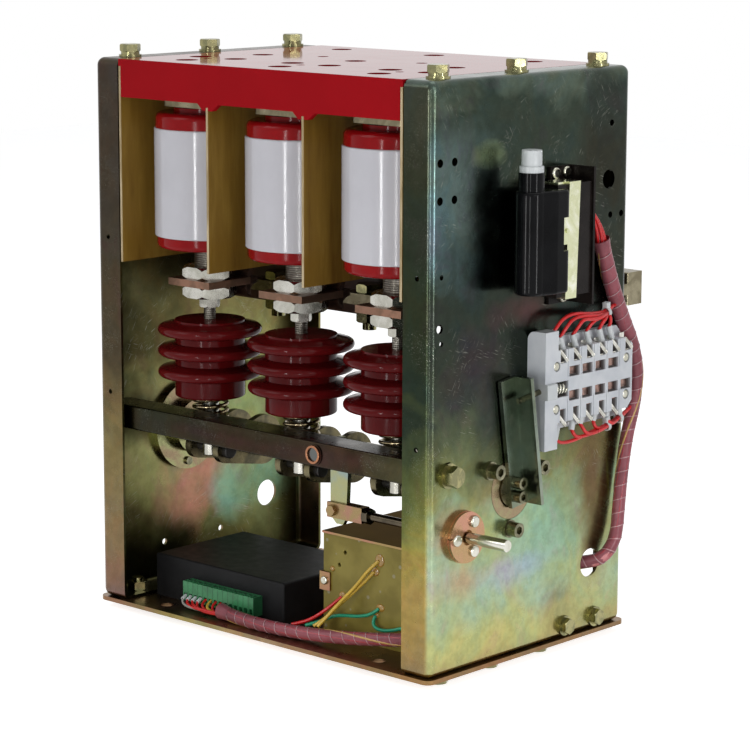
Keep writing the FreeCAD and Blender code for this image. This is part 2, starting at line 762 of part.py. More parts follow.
for y, z, radius in PLATE_HOLES[1:4] + [(-42.0, 32.0, 2.25), (16.0, 32.0, 2.25)]:
    left_plate = left_plate.cut(rod((-HALF_WIDTH - 1, y, z), AX, radius, SHEET + 2))
SLOT = [(BEAM_Y, BEAM_Z), (BEAM_Y, BEAM_Z + BEAM_SLOT)]
for y, z in BEARING_SCREWS:
    right_plate = right_plate.cut(rod((INNER_X - 1, y, z), AX, M6 + CLEARANCE, SHEET + 2))
    left_plate = left_plate.cut(rod((-HALF_WIDTH - 1, y, z), AX, M6 + CLEARANCE, SHEET + 2))
for y, z in SLOT:
    right_plate = right_plate.cut(rod((INNER_X - 1, y, z), AX, M8 + BEAM_SLOT_PLAY, SHEET + 2))
    left_plate = left_plate.cut(rod((-HALF_WIDTH - 1, y, z), AX, M8 + BEAM_SLOT_PLAY, SHEET + 2))
for y in EARTH_BOLT_Y:
    right_plate = right_plate.cut(rod((INNER_X - 1, y, EARTH_BOLT_Z), AX, M6 + FIT, SHEET + 2))
for y, z in GUIDE_SCREWS:
    right_plate = right_plate.cut(rod((INNER_X - 1, y, z), AX, M4 + CLEARANCE, SHEET + 2))
for y, z in BLACK_SCREWS:
    right_plate = right_plate.cut(rod((INNER_X - 1, y, z), AX, M4 + CLEARANCE, SHEET + 2))
for y, z in SWITCH_SCREWS:
    right_plate = right_plate.cut(rod((INNER_X - 1, y, z), AX, M3 + CLEARANCE, SHEET + 2))
for side in (-1, 1):
    drilled = right_plate if side > 0 else left_plate
    for y in TOP_BOLT_Y:
        drilled = drilled.cut(rod(
            (side * TOP_BOLT_X, y, HEIGHT - SHEET - 1), AZ, M8 + CLEARANCE, SHEET + 2,
        ))
    for y in BASE_BOLT_Y:
        drilled = drilled.cut(rod(
            (side * BASE_BOLT_X, y, BASE_THICKNESS - 1), AZ, M8 + CLEARANCE, SHEET + 2,
        ))
    for z in FRONT_HOLE_Z:
        drilled = drilled.cut(rod(
            (side * FRONT_HOLE_X, -HALF_DEPTH - 1, z), AY, FRONT_HOLE_RADIUS, SHEET + 2,
        ))
    save("right_side_plate" if side > 0 else "left_side_plate", flanges_apart(drilled, side))


# Red top board, with grooves for the barriers and bosses down to the terminals
board = box(-OPEN_X + 1, -HALF_DEPTH, BOARD_BOTTOM, OPEN_X - 1, HALF_DEPTH, BOARD_TOP)
board = board.fuse(box(
    -MARGIN_X, -MARGIN_Y, BOARD_BOTTOM, MARGIN_X, MARGIN_Y, HEIGHT - SHEET,
))
lip_x = OPEN_X - 1
for front in (-1, 1):
    y0 = -HALF_DEPTH if front < 0 else HALF_DEPTH - LIP_WALL
    board = board.fuse(box(-lip_x, y0, BOARD_TOP - LIP_HEIGHT, lip_x, y0 + LIP_WALL, BOARD_TOP))
    lip_z = BOARD_TOP - LIP_HEIGHT
    for x in (-INNER_BARRIER_X, INNER_BARRIER_X):
        tab = [(x - 9, lip_z + 1), (x - 9, lip_z), (x - 4, lip_z - TAB_DEPTH)]
        tab += [(x + 5, lip_z - TAB_DEPTH), (x + 11, lip_z), (x + 11, lip_z + 1)]
        board = board.fuse(extrude_xz(tab, y0, y0 + LIP_WALL))
for x in POLES:
    board = board.fuse(rod(
        (x, POLE_Y, TERMINAL_TOP), AZ, BOSS_RADIUS, BOARD_BOTTOM - TERMINAL_TOP,
    ))
    board = board.fuse(rod(
        (x, TERMINAL_BOLT_Y - 22, TERMINAL_TOP), AZ, REAR_BOSS_RADIUS, BOARD_BOTTOM - TERMINAL_TOP,
    ))
board = board.removeSplitter()
LIP_INSIDE_Y = -HALF_DEPTH + LIP_WALL + CLEARANCE
TAB_NOTCH_Z = BOARD_TOP - LIP_HEIGHT - TAB_DEPTH + TAB_NOTCH
for x in (-OUTER_BARRIER_X, -INNER_BARRIER_X, INNER_BARRIER_X, OUTER_BARRIER_X):
    groove_y = -HALF_DEPTH - 1 if abs(x) > INNER_BARRIER_X else LIP_INSIDE_Y - BARRIER_PLAY
    board = board.cut(box(
        x - BARRIER_THICKNESS / 2 - BARRIER_PLAY, groove_y, BARRIER_BOTTOM,
        x + BARRIER_THICKNESS / 2 + BARRIER_PLAY, BARRIER_REAR_Y + BARRIER_PLAY,
        BOARD_BOTTOM + GROOVE_DEPTH,
    ))
    board = board.cut(box(
        x - BARRIER_THICKNESS / 2 - BARRIER_PLAY, -HALF_DEPTH - 1, BARRIER_BOTTOM,
        x + BARRIER_THICKNESS / 2 + BARRIER_PLAY, LIP_INSIDE_Y, TAB_NOTCH_Z,
    ))
for x in POLES:
    for step in range(3):
        angle = math.radians(-90.0 + 120.0 * step)
        hx = x + FIXING_CIRCLE * math.cos(angle)
        hy = POLE_Y + FIXING_CIRCLE * math.sin(angle)
        board = board.cut(rod((hx, hy, TERMINAL_TOP - 1), AZ, FIXING_HOLE_RADIUS, 40))
        board = board.cut(rod((hx, hy, BOARD_TOP - FIXING_SINK), AZ, FIXING_SINK_RADIUS, 40))
    board = board.cut(rod((x, TERMINAL_SCREW_Y, BOARD_BOTTOM - 1), AZ, ACCESS_RADIUS, 12))
    board = board.cut(rod((x, TERMINAL_BOLT_Y, BOARD_BOTTOM - 1), AZ, ACCESS_RADIUS, 12))
    board = board.cut(rod((x, POLE_Y, BOARD_TOP - 4), AZ, 3.0, 12))
for x in (-INNER_BARRIER_X - 1.5, INNER_BARRIER_X + 1.5):
    board = board.cut(rod((x, 13.5, BOARD_TOP - 4), AZ, 4.0, 12))
for side in (-1, 1):
    for y in TOP_BOLT_Y:
        board = board.cut(rod((side * TOP_BOLT_X, y, BOARD_BOTTOM - 1), AZ, M8 + CLEARANCE, 12))
front_slab = board.common(box(-HALF_WIDTH, -HALF_DEPTH, BOARD_BOTTOM, HALF_WIDTH, BOARD_SPLIT_Y, BOARD_TOP))
rear_slab = board.common(box(-HALF_WIDTH, BOARD_SPLIT_Y, BOARD_BOTTOM, HALF_WIDTH, HALF_DEPTH, BOARD_TOP))
hanging = board.common(box(-HALF_WIDTH, -HALF_DEPTH, BARRIER_BOTTOM, HALF_WIDTH, HALF_DEPTH, BOARD_BOTTOM))
save("top_board", front_slab.Solids + hanging.Solids)
save("top_board_rear", rear_slab.Solids)


# Phase barriers between and beside the poles
barriers = []
for x in (-OUTER_BARRIER_X, -INNER_BARRIER_X, INNER_BARRIER_X, OUTER_BARRIER_X):
    barrier = box(
        x - BARRIER_THICKNESS / 2, -HALF_DEPTH + BARRIER_INSET, BARRIER_BOTTOM,
        x + BARRIER_THICKNESS / 2, BARRIER_REAR_Y, BOARD_BOTTOM + GROOVE_DEPTH,
    )
    if abs(x) == INNER_BARRIER_X:
        barrier = barrier.cut(box(
            x - BARRIER_THICKNESS, -HALF_DEPTH - 1, TAB_NOTCH_Z - BARRIER_PLAY,
            x + BARRIER_THICKNESS, LIP_INSIDE_Y, BOARD_TOP,
        ))
    barriers.append(barrier)
save("phase_barriers", barriers)


# Board behind the poles, with windows for the lower terminals
rear = box(
    -INNER_X + 0.5, REAR_BOARD_Y, REAR_BOARD_BOTTOM,
    INNER_X - 0.5, REAR_BOARD_Y + REAR_BOARD_THICKNESS, REAR_BOARD_TOP,
)
for x in (-OUTER_BARRIER_X, -INNER_BARRIER_X, INNER_BARRIER_X, OUTER_BARRIER_X):
    rear = rear.cut(box(
        x - BARRIER_THICKNESS / 2 - BARRIER_PLAY, REAR_BOARD_Y - 1, BARRIER_BOTTOM,
        x + BARRIER_THICKNESS / 2 + BARRIER_PLAY, REAR_BOARD_Y + REAR_BOARD_THICKNESS + 1,
        REAR_BOARD_TOP + 1,
    ))
for x in POLES:
    rear = rear.cut(box(
        x - BAR_WIDTH / 2 - CLEARANCE, REAR_BOARD_Y - 1, BARS[0],
        x + BAR_WIDTH / 2 + CLEARANCE, REAR_BOARD_Y + REAR_BOARD_THICKNESS + 1, BARS[1] + CLEARANCE,
    ))
for side in (-1, 1):
    for z in BOARD_SCREW_Z:
        rear = rear.cut(rod((side * BOARD_SCREW_X, REAR_BOARD_Y - 1, z), AY, M6 + CLEARANCE, 20))
save("rear_board", rear)


# Vacuum bottles, each a sealed can with its fixed stem, and their end caps
for number, x in enumerate(POLES):
    top = BOTTLE_BOTTOM + BOTTLE_LENGTH
    can = rod((x, POLE_Y, BOTTLE_BOTTOM), AZ, BOTTLE_RADIUS, BOTTLE_LENGTH)
    can = can.makeFillet(1.0, can.Edges[0:1] + can.Edges[2:3])
    can = can.fuse(rod(
        (x, POLE_Y, BOTTLE_BOTTOM - END_DISC_HEIGHT), AZ, END_DISC_RADIUS,
        BOTTLE_LENGTH + 2 * END_DISC_HEIGHT,
    ))
    can = can.fuse(rod((x, POLE_Y, top), AZ, FIXED_STEM_RADIUS, TERMINAL_UNDERSIDE - top))
    can = can.cut(rod(
        (x, POLE_Y, BOTTLE_BOTTOM - END_DISC_HEIGHT - 1), AZ, STEM_RADIUS + 1.5,
        BOTTLE_BORE_DEPTH + END_DISC_HEIGHT + 1,
    ))
    save("vacuum_bottle_%d" % (number + 1), can.removeSplitter())
caps = []
for x in POLES:
    top = BOTTLE_BOTTOM + BOTTLE_LENGTH
    upper = rod((x, POLE_Y, top), AZ, CAP_RADIUS, CAP_HEIGHT)
    upper = upper.makeFillet(4.5, [far_edge(upper, (x, POLE_Y, top + CAP_HEIGHT))])
    upper = upper.fuse(rod(
        (x, POLE_Y, top + CAP_HEIGHT), AZ, CAP_COLLAR_RADIUS,
        TERMINAL_UNDERSIDE - top - CAP_HEIGHT - CLEARANCE,
    ))
    upper = upper.cut(rod(
        (x, POLE_Y, top - 1), AZ, END_DISC_RADIUS + CLEARANCE, END_DISC_HEIGHT + 1 + CLEARANCE,
    ))
    upper = upper.cut(rod((x, POLE_Y, top - 1), AZ, FIXED_STEM_RADIUS + CLEARANCE, 40))
    caps.append(upper.removeSplitter())
    lower = rod((x, POLE_Y, BOTTLE_BOTTOM - LOWER_CAP_HEIGHT), AZ, CAP_RADIUS - 0.5, LOWER_CAP_HEIGHT)
    lower = lower.makeFillet(3.5, [far_edge(lower, (x, POLE_Y, BOTTLE_BOTTOM - LOWER_CAP_HEIGHT))])
    lower = lower.cut(rod(
        (x, POLE_Y, BOTTLE_BOTTOM - END_DISC_HEIGHT - CLEARANCE), AZ, END_DISC_RADIUS + CLEARANCE, 12,
    ))
    lower = lower.cut(rod((x, POLE_Y, BOTTLE_BOTTOM - 20), AZ, STEM_RADIUS + FIT, 40))
    caps.append(lower)
save("bottle_caps", caps)


# Terminals: flat bars at the top, bars with end blocks at the rear
uppers = []
lowers = []
for x in POLES:
    bar = box(
        x - TERMINAL_WIDTH / 2, TERMINAL_FRONT_Y, TERMINAL_UNDERSIDE,
        x + TERMINAL_WIDTH / 2, TERMINAL_REAR_Y, TERMINAL_TOP,
    )
    bar = bar.makeFillet(2.0, vertical_edges(bar, lambda ex, ey: True))
    bar = bar.cut(rod((x, TERMINAL_BOLT_Y, TERMINAL_UNDERSIDE - 1), AZ, TERMINAL_HOLE_RADIUS, 12))
    bar = bar.cut(rod((x, TERMINAL_SCREW_Y, TERMINAL_UNDERSIDE - 1), AZ, M6 + CLEARANCE, 12))
    uppers.append(bar)
    bar = box(
        x - BAR_WIDTH / 2, BAR_FRONT_Y, BARS[0], x + BAR_WIDTH / 2, END_BLOCK_FRONT_Y + 1, BARS[1],
    )
    block = box(
        x - BAR_WIDTH / 2, END_BLOCK_FRONT_Y, BAR_MIDDLE_Z - END_BLOCK_HEIGHT / 2,
        x + BAR_WIDTH / 2, END_BLOCK_FRONT_Y + END_BLOCK_DEPTH, BAR_MIDDLE_Z + END_BLOCK_HEIGHT / 2,
    )
    block = block.makeFillet(1.5, [edge for edge in block.Edges if edge.BoundBox.YLength < 0.01])
    bar = bar.fuse(block).removeSplitter()
    bar = bar.cut(rod(
        (x, END_BLOCK_FRONT_Y + END_BLOCK_DEPTH + 1, BAR_MIDDLE_Z), AY * -1.0,
        END_BLOCK_HOLE_RADIUS, 15,
    ))
    bar = bar.cut(rod((x, LINK_BOLT_Y, BARS[0] - 1), AZ, LINK_BOLT_RADIUS + CLEARANCE, 12))
    lowers.append(bar)
save("upper_terminals", uppers)
save("lower_terminals", lowers)


# Laminated copper links, from the moving stems down to the lower terminals
def link_outline(shift):
    """Edges of the link's middle line, moved sideways by a shift, as (y, z) arcs."""
    turn = math.radians(LINK_TURN)
    top = PAD_TOP - PAD_THICKNESS / 2.0
    low = BARS[0] - PAD_THICKNESS / 2.0
    slope = (top - low - 2 * LINK_BEND * (1 - math.cos(turn))) / math.sin(turn)
    y0 = POLE_Y + PAD_WIDTH / 2.0
    run = 2 * LINK_BEND * math.sin(turn) + slope * math.cos(turn)
    y1 = BAR_FRONT_Y - 3.0 - run
    first = LINK_BEND + shift
    second = LINK_BEND - shift
    c1 = (y1, top - LINK_BEND)
    c2 = (y1 + run, low + LINK_BEND)

    def at(centre, radius, angle):
        return V(0, centre[0] + radius * math.sin(angle), centre[1] + radius * math.cos(angle))

    points = [V(0, y0, top + shift), at(c1, first, 0), at(c1, first, turn / 2), at(c1, first, turn)]
    points += [at(c2, -second, turn), at(c2, -second, turn / 2), at(c2, -second, 0)]
    points.append(V(0, LINK_BOLT_Y + LINK_PAD_LENGTH / 2.0, low + shift))
    return points


def link(x):
    """One link, as wide as its clamp bar."""
    upper = link_outline(PAD_THICKNESS / 2.0)
    lower = link_outline(-PAD_THICKNESS / 2.0)
    edges = []
    for points in (upper, lower):
        edges.append(Part.LineSegment(points[0], points[1]).toShape())
        edges.append(Part.Arc(points[1], points[2], points[3]).toShape())
        edges.append(Part.LineSegment(points[3], points[4]).toShape())
        edges.append(Part.Arc(points[4], points[5], points[6]).toShape())
        edges.append(Part.LineSegment(points[6], points[7]).toShape())
    edges.append(Part.LineSegment(upper[0], lower[0]).toShape())
    edges.append(Part.LineSegment(upper[7], lower[7]).toShape())
    face = Part.Face(Part.Wire(Part.__sortEdges__(edges)))
    shape = face.extrude(V(LINK_WIDTH, 0, 0))
    shape.translate(V(x - LINK_WIDTH / 2.0, 0, 0))
    return shape.cut(rod((x, LINK_BOLT_Y, BARS[0] - 20), AZ, LINK_BOLT_RADIUS + CLEARANCE, 30))


for number, x in enumerate(POLES):
    save("flexible_link_%d" % (number + 1), link(x))


# Moving parts of each pole
def insulator(x):
    """Ribbed post with a stud hole above and a rod hole below."""
    edges = []
    last = V(INSULATOR_RADIUS, 0, INSULATOR_TOP)
    edges.append(Part.LineSegment(V(0, 0, INSULATOR_TOP), last).toShape())
    for step in range(RIB_COUNT):
        z = TOP_RIB_Z - step * RIB_PITCH
        tip = RIB_RADIUS - RIB_TIP
        start = V(INSULATOR_RADIUS, 0, min(z + RIB_ROOT, INSULATOR_TOP - 0.8))
        edges.append(Part.LineSegment(last, start).toShape())
        edges.append(Part.LineSegment(start, V(tip, 0, z + RIB_TIP)).toShape())
        edges.append(Part.Arc(
            V(tip, 0, z + RIB_TIP), V(RIB_RADIUS, 0, z), V(tip, 0, z - RIB_TIP),
        ).toShape())
        last = V(INSULATOR_RADIUS, 0, z - RIB_ROOT)
        edges.append(Part.LineSegment(V(tip, 0, z - RIB_TIP), last).toShape())
    edges.append(Part.LineSegment(last, V(INSULATOR_RADIUS, 0, INSULATOR_BOTTOM)).toShape())
    edges.append(Part.LineSegment(
        V(INSULATOR_RADIUS, 0, INSULATOR_BOTTOM), V(0, 0, INSULATOR_BOTTOM),
    ).toShape())
    edges.append(Part.LineSegment(V(0, 0, INSULATOR_BOTTOM), V(0, 0, INSULATOR_TOP)).toShape())
    shape = Part.Face(Part.Wire(edges)).revolve(V(0, 0, 0), AZ, 360)
    shape = shape.makeFillet(1.5, [far_edge_at(shape, INSULATOR_RADIUS, INSULATOR_BOTTOM)])
    shape.translate(V(x, POLE_Y, 0))
    shape = shape.cut(rod(
        (x, POLE_Y, INSULATOR_TOP - STUD_DEPTH), AZ, STUD_RADIUS + FIT, STUD_DEPTH + 1,
    ))
    return shape.cut(rod(
        (x, POLE_Y, INSULATOR_BOTTOM - 1), AZ, PULL_ROD_RADIUS + FIT, PULL_ROD_GRIP + 1,
    ))


def far_edge_at(shape, radius, height):
    """Round edge with a given radius at a given height."""
    for edge in shape.Edges:
        if edge.Curve.TypeId == "Part::GeomCircle":
            if abs(edge.Curve.Radius - radius) < 0.01 and abs(edge.Curve.Center.z - height) < 0.01:
                return edge
    return None


for number, x in enumerate(POLES):
    name = "_%d" % (number + 1)
    stem = rod((x, POLE_Y, STEM_BOTTOM), AZ, STEM_RADIUS, STEM_TOP - STEM_BOTTOM)
    stem = stem.makeChamfer(1.0, [far_edge(stem, (x, POLE_Y, STEM_BOTTOM))])
    stem = stem.fuse(rod(
        (x, POLE_Y, INSULATOR_TOP - STUD_DEPTH), AZ, STUD_RADIUS,
        STEM_BOTTOM - INSULATOR_TOP + STUD_DEPTH,
    ))
    pad = box(
        x - PAD_WIDTH / 2, POLE_Y - PAD_WIDTH / 2, PAD_TOP - PAD_THICKNESS,
        x + PAD_WIDTH / 2, POLE_Y + PAD_WIDTH / 2, PAD_TOP,
    )
    pad = pad.cut(rod((x, POLE_Y, PAD_TOP - 20), AZ, STEM_RADIUS + FIT, 40))
    save("contact_stem" + name, [stem.removeSplitter(), pad])
    nuts = [
        nut((x, POLE_Y, PAD_TOP), AZ, STEM_NUT_FLATS, STEM_NUT_HEIGHT, STEM_RADIUS + FIT),
        nut((x, POLE_Y, PAD_TOP - PAD_THICKNESS - STEM_NUT_HEIGHT), AZ, STEM_NUT_FLATS, STEM_NUT_HEIGHT,
            STEM_RADIUS + FIT),
        nut((x, POLE_Y, STEM_BOTTOM - LOCK_NUT_HEIGHT), AZ, LOCK_NUT_FLATS, LOCK_NUT_HEIGHT,
            STUD_RADIUS + FIT),
    ]
    save("stem_nuts" + name, nuts)
    save("insulator" + name, insulator(x))
    pull = rod(
        (x, POLE_Y, PULL_ROD_BOTTOM), AZ, PULL_ROD_RADIUS,
        INSULATOR_BOTTOM + PULL_ROD_GRIP - PULL_ROD_BOTTOM,
    )
    pull = pull.makeChamfer(0.6, [far_edge(pull, (x, POLE_Y, PULL_ROD_BOTTOM))])
    pull = pull.cut(rod((x - 20, POLE_Y, CRANK_PIN_Z), AX, CRANK_PIN_RADIUS + PIVOT_PLAY, 40))
    washer_z = SPRING_SEAT_Z - SEAT_WASHER_THICKNESS
    seat = tube(
        (x, POLE_Y, washer_z), AZ, SEAT_WASHER_RADIUS, PULL_ROD_RADIUS + FIT, SEAT_WASHER_THICKNESS,
    )
    seat_nut = nut((x, POLE_Y, washer_z - SEAT_NUT_HEIGHT), AZ, SEAT_NUT_FLATS, SEAT_NUT_HEIGHT,
                   PULL_ROD_RADIUS + FIT)
    save("pull_rod" + name, [pull, seat, seat_nut])
    save("contact_spring" + name, helix_spring(
        (x, POLE_Y, SPRING_SEAT_Z + 0.05), AZ, SPRING_RADIUS, SPRING_WIRE, SPRING_TURNS,
        INSULATOR_BOTTOM - SPRING_SEAT_Z - 0.1,
    ))


# Cross beam: a rectangular tube with plugged ends and the bush for the trip lever
beam = box(
    -INNER_X, BEAM_Y - BEAM_DEPTH / 2, BEAM_Z - BEAM_HEIGHT / 2,
    INNER_X, BEAM_Y + BEAM_DEPTH / 2, BEAM_Z + BEAM_HEIGHT / 2,
)
beam = beam.makeFillet(BEAM_EDGE, [edge for edge in beam.Edges if edge.BoundBox.XLength > 1])
beam = beam.cut(box(
    -INNER_X + BEAM_PLUG, BEAM_Y - BEAM_DEPTH / 2 + BEAM_WALL, BEAM_Z - BEAM_HEIGHT / 2 + BEAM_WALL,
    INNER_X - BEAM_PLUG, BEAM_Y + BEAM_DEPTH / 2 - BEAM_WALL, BEAM_Z + BEAM_HEIGHT / 2 - BEAM_WALL,
))
beam = beam.fuse(rod(
    (BUSH_X, BEAM_Y - BEAM_DEPTH / 2 - BUSH_RIM, BEAM_Z), AY, BUSH_RIM_RADIUS, BEAM_DEPTH + BUSH_RIM,
))
beam = beam.removeSplitter()
beam = beam.cut(rod((BUSH_X, BEAM_Y - 20, BEAM_Z), AY, BUSH_RADIUS + FIT, 40))
beam = beam.cut(rod((-INNER_X - 1, BEAM_Y, BEAM_Z), AX, M8 + FIT, BEAM_PLUG + 2))
beam = beam.cut(rod((INNER_X - BEAM_PLUG - 1, BEAM_Y, BEAM_Z), AX, M8 + FIT, BEAM_PLUG + 2))
save("cross_beam", beam)


# Main shaft with its cranks and the arms of the closing magnet welded on
def hull(centre_a, radius_a, centre_b, radius_b, x0, x1):
    """Plate whose outline wraps two circles, given as (y, z), from x0 to x1."""
    ay, az = centre_a
    by, bz = centre_b
    length = math.hypot(by - ay, bz - az)
    direction = math.atan2(bz - az, by - ay)
    spread = math.acos((radius_a - radius_b) / length)
    points = []
    for sign in (1, -1):
        angle = direction + sign * spread
        points.append((
            (ay + radius_a * math.cos(angle), az + radius_a * math.sin(angle)),
            (by + radius_b * math.cos(angle), bz + radius_b * math.sin(angle)),
        ))
    outline = [points[0][0], points[0][1], points[1][1], points[1][0]]
    shape = extrude_yz(outline, x0, x1)
    shape = shape.fuse(rod((x0, ay, az), AX, radius_a, x1 - x0))
    return shape.fuse(rod((x0, by, bz), AX, radius_b, x1 - x0)).removeSplitter()


shaft_left = -HALF_WIDTH + 1.0
shaft_right = HALF_WIDTH + SHAFT_PROUD
shaft = rod((shaft_left, SHAFT_Y, SHAFT_Z), AX, SHAFT_RADIUS, shaft_right - shaft_left)
shaft = shaft.makeChamfer(0.8, [far_edge(shaft, (shaft_left, SHAFT_Y, SHAFT_Z))])
welded = []
CHEEKS = []
for x in POLES:
    CHEEKS.append((x - CRANK_GAP - CRANK_THICKNESS, x - CRANK_GAP))
    CHEEKS.append((x + CRANK_GAP, x + CRANK_GAP + CRANK_THICKNESS))
for x0, x1 in CHEEKS:
    welded.append(hull(
        (SHAFT_Y, SHAFT_Z), CRANK_EYE_RADIUS, (POLE_Y, CRANK_PIN_Z), CRANK_NOSE_RADIUS, x0, x1,
    ))
ARMS = (
    (MAGNET_X - MAGNET_ARM_GAP - MAGNET_ARM_THICKNESS, MAGNET_X - MAGNET_ARM_GAP),
    (MAGNET_X + MAGNET_ARM_GAP, MAGNET_X + MAGNET_ARM_GAP + MAGNET_ARM_THICKNESS),
)
for x0, x1 in ARMS:
    welded.append(hull(
        (SHAFT_Y, SHAFT_Z), MAGNET_ARM_EYE, (MAGNET_Y, SHAFT_Z), MAGNET_ARM_NOSE, x0, x1,
    ))
shaft_bar = rod((-HALF_WIDTH, SHAFT_Y, SHAFT_Z), AX, SHAFT_RADIUS, WIDTH)
crank_pin_bore = rod((-HALF_WIDTH, POLE_Y, CRANK_PIN_Z), AX, CRANK_PIN_RADIUS + FIT, WIDTH)
arm_pin_bore = rod((MAGNET_X - 20, MAGNET_Y, SHAFT_Z), AX, CRANK_PIN_RADIUS + PIVOT_PLAY, 40)
welded = [plate.cut(shaft_bar).cut(crank_pin_bore).cut(arm_pin_bore) for plate in welded]
LEVER_SCREWS = []
for sign in (-1, 1):
    LEVER_SCREWS.append(SHAFT_Z + sign * LEVER_SCREW_SPACING / 2.0)
for z in LEVER_SCREWS:
    shaft = shaft.cut(rod(
        (shaft_right + 1, SHAFT_Y, z), AX * -1.0, LEVER_SCREW_RADIUS + FIT, LEVER_SCREW_LENGTH + 2,
    ))
save("main_shaft", [shaft] + welded)
pins = []
for x in POLES:
    half = CRANK_GAP + CRANK_THICKNESS + FIT
    pin = rod((x - half, POLE_Y, CRANK_PIN_Z), AX, CRANK_PIN_RADIUS, 2 * half)
    for sign in (-1, 1):
        start = (x + sign * half, POLE_Y, CRANK_PIN_Z)
        cap = rod(start, AX * float(sign), PIN_HEAD_RADIUS, PIN_HEAD_LENGTH)
        outer_end = (x + sign * (half + PIN_HEAD_LENGTH), POLE_Y, CRANK_PIN_Z)
        cap = cap.makeFillet(1.0, [far_edge(cap, outer_end)])
        pin = pin.fuse(cap)
    pins.append(pin.removeSplitter())
save("crank_pins", pins)


# Shaft bearings, flanged inside the side plates
bearings = []
for side in (-1, 1):
    out = AX * float(side)
    hub_x = side * (INNER_X - BEARING_FLANGE_THICKNESS - BEARING_HUB_LENGTH)
    flange_x = side * (INNER_X - BEARING_FLANGE_THICKNESS)
    bearing = rod((hub_x, SHAFT_Y, SHAFT_Z), out, BEARING_HUB_RADIUS, BEARING_HUB_LENGTH)
    bearing = bearing.fuse(rod(
        (flange_x, SHAFT_Y, SHAFT_Z), out, BEARING_FLANGE_RADIUS, BEARING_FLANGE_THICKNESS,
    ))
    bearing = bearing.fuse(rod((side * INNER_X, SHAFT_Y, SHAFT_Z), out, BEARING_SPIGOT_RADIUS, SHEET))
    bearing = bearing.removeSplitter()
    bearing = bearing.cut(rod((hub_x - side, SHAFT_Y, SHAFT_Z), out, SHAFT_RADIUS + FIT, 40))
    bearing = bearing.makeChamfer(0.8, [
        edge for edge in bearing.Edges
        if edge.Curve.TypeId == "Part::GeomCircle" and abs(edge.Curve.Radius - SHAFT_RADIUS - FIT) < 0.01
        and abs(abs(edge.Curve.Center.x) - HALF_WIDTH) < 0.01
    ])
    for y, z in BEARING_SCREWS:
        bearing = bearing.cut(rod((flange_x - side, y, z), out, M6 + FIT, 40))
    bearings.append(bearing)
save("shaft_bearings", bearings)


# Lever outside the right side plate: an angle leaning forward, with its screws
def lean(shape):
    """Turn a shape built upright about the shaft axis so that its top leans forward."""
    shape.rotate(V(0, SHAFT_Y, SHAFT_Z), AX, LEVER_LEAN)
    return shape


LEVER_X = shaft_right
lever = box(
    LEVER_X, SHAFT_Y - LEVER_EDGE, SHAFT_Z - LEVER_BOTTOM,
    LEVER_X + LEVER_THICKNESS, SHAFT_Y - LEVER_EDGE + LEVER_WEB, SHAFT_Z + LEVER_TOP,
)
LEVER_BACK_Y = SHAFT_Y - LEVER_EDGE + LEVER_WEB
lever = lever.fuse(box(
    LEVER_X, LEVER_BACK_Y - LEVER_THICKNESS, SHAFT_Z - LEVER_BOTTOM,
    LEVER_X + LEVER_FLANGE, LEVER_BACK_Y, SHAFT_Z + LEVER_TOP,
)).removeSplitter()
corner = []
for edge in lever.Edges:
    limits = edge.BoundBox
    upright = limits.ZLength > 50
    if upright and abs(limits.XMin - LEVER_X) < 0.01 and abs(limits.YMin - LEVER_BACK_Y) < 0.01:
        corner.append(edge)
lever = lever.makeFillet(LEVER_THICKNESS, corner)
tip_up = (ADJUSTER_Z - SHAFT_Z) / math.cos(math.radians(LEVER_LEAN))
tip_run = SWITCH_FRONT_Y - ADJUSTER_GAP - SHAFT_Y
tip_z = tip_up * math.cos(math.radians(LEVER_LEAN)) ** 2 - tip_run * math.sin(math.radians(LEVER_LEAN))
tip_y = (tip_run + tip_z * math.sin(math.radians(LEVER_LEAN))) / math.cos(math.radians(LEVER_LEAN))
lever = lever.cut(rod((ADJUSTER_X, LEVER_BACK_Y - 10, SHAFT_Z + tip_z), AY, ADJUSTER_RADIUS + FIT, 20))
for z in LEVER_SCREWS:
    hole = rod((LEVER_X - 1, SHAFT_Y, z), AX, LEVER_SCREW_RADIUS + CLEARANCE, 10)
    hole.rotate(V(0, SHAFT_Y, SHAFT_Z), AX, -LEVER_LEAN)
    lever = lever.cut(hole)
save("shaft_lever", lean(lever))
lever_pieces = []
for z in LEVER_SCREWS:
    lever_pieces.extend(socket_screw(
        (LEVER_X + LEVER_THICKNESS, SHAFT_Y, z), AX, LEVER_SCREW_RADIUS,
        LEVER_THICKNESS + LEVER_SCREW_LENGTH,
        [(1.6 * LEVER_SCREW_RADIUS, 1.4)],
    ))
adjuster_start = LEVER_BACK_Y - LEVER_THICKNESS - ADJUSTER_HEAD
adjuster = rod(
    (ADJUSTER_X, adjuster_start, SHAFT_Z + tip_z), AY, ADJUSTER_RADIUS,
    SHAFT_Y + tip_y - adjuster_start,
)
adjuster_nut = nut(
    (ADJUSTER_X, LEVER_BACK_Y, SHAFT_Z + tip_z), AY, 7.0, 3.2, ADJUSTER_RADIUS + FIT,
)
lever_pieces.append(lean(adjuster))
lever_pieces.append(lean(adjuster_nut))
save("lever_screws", lever_pieces)


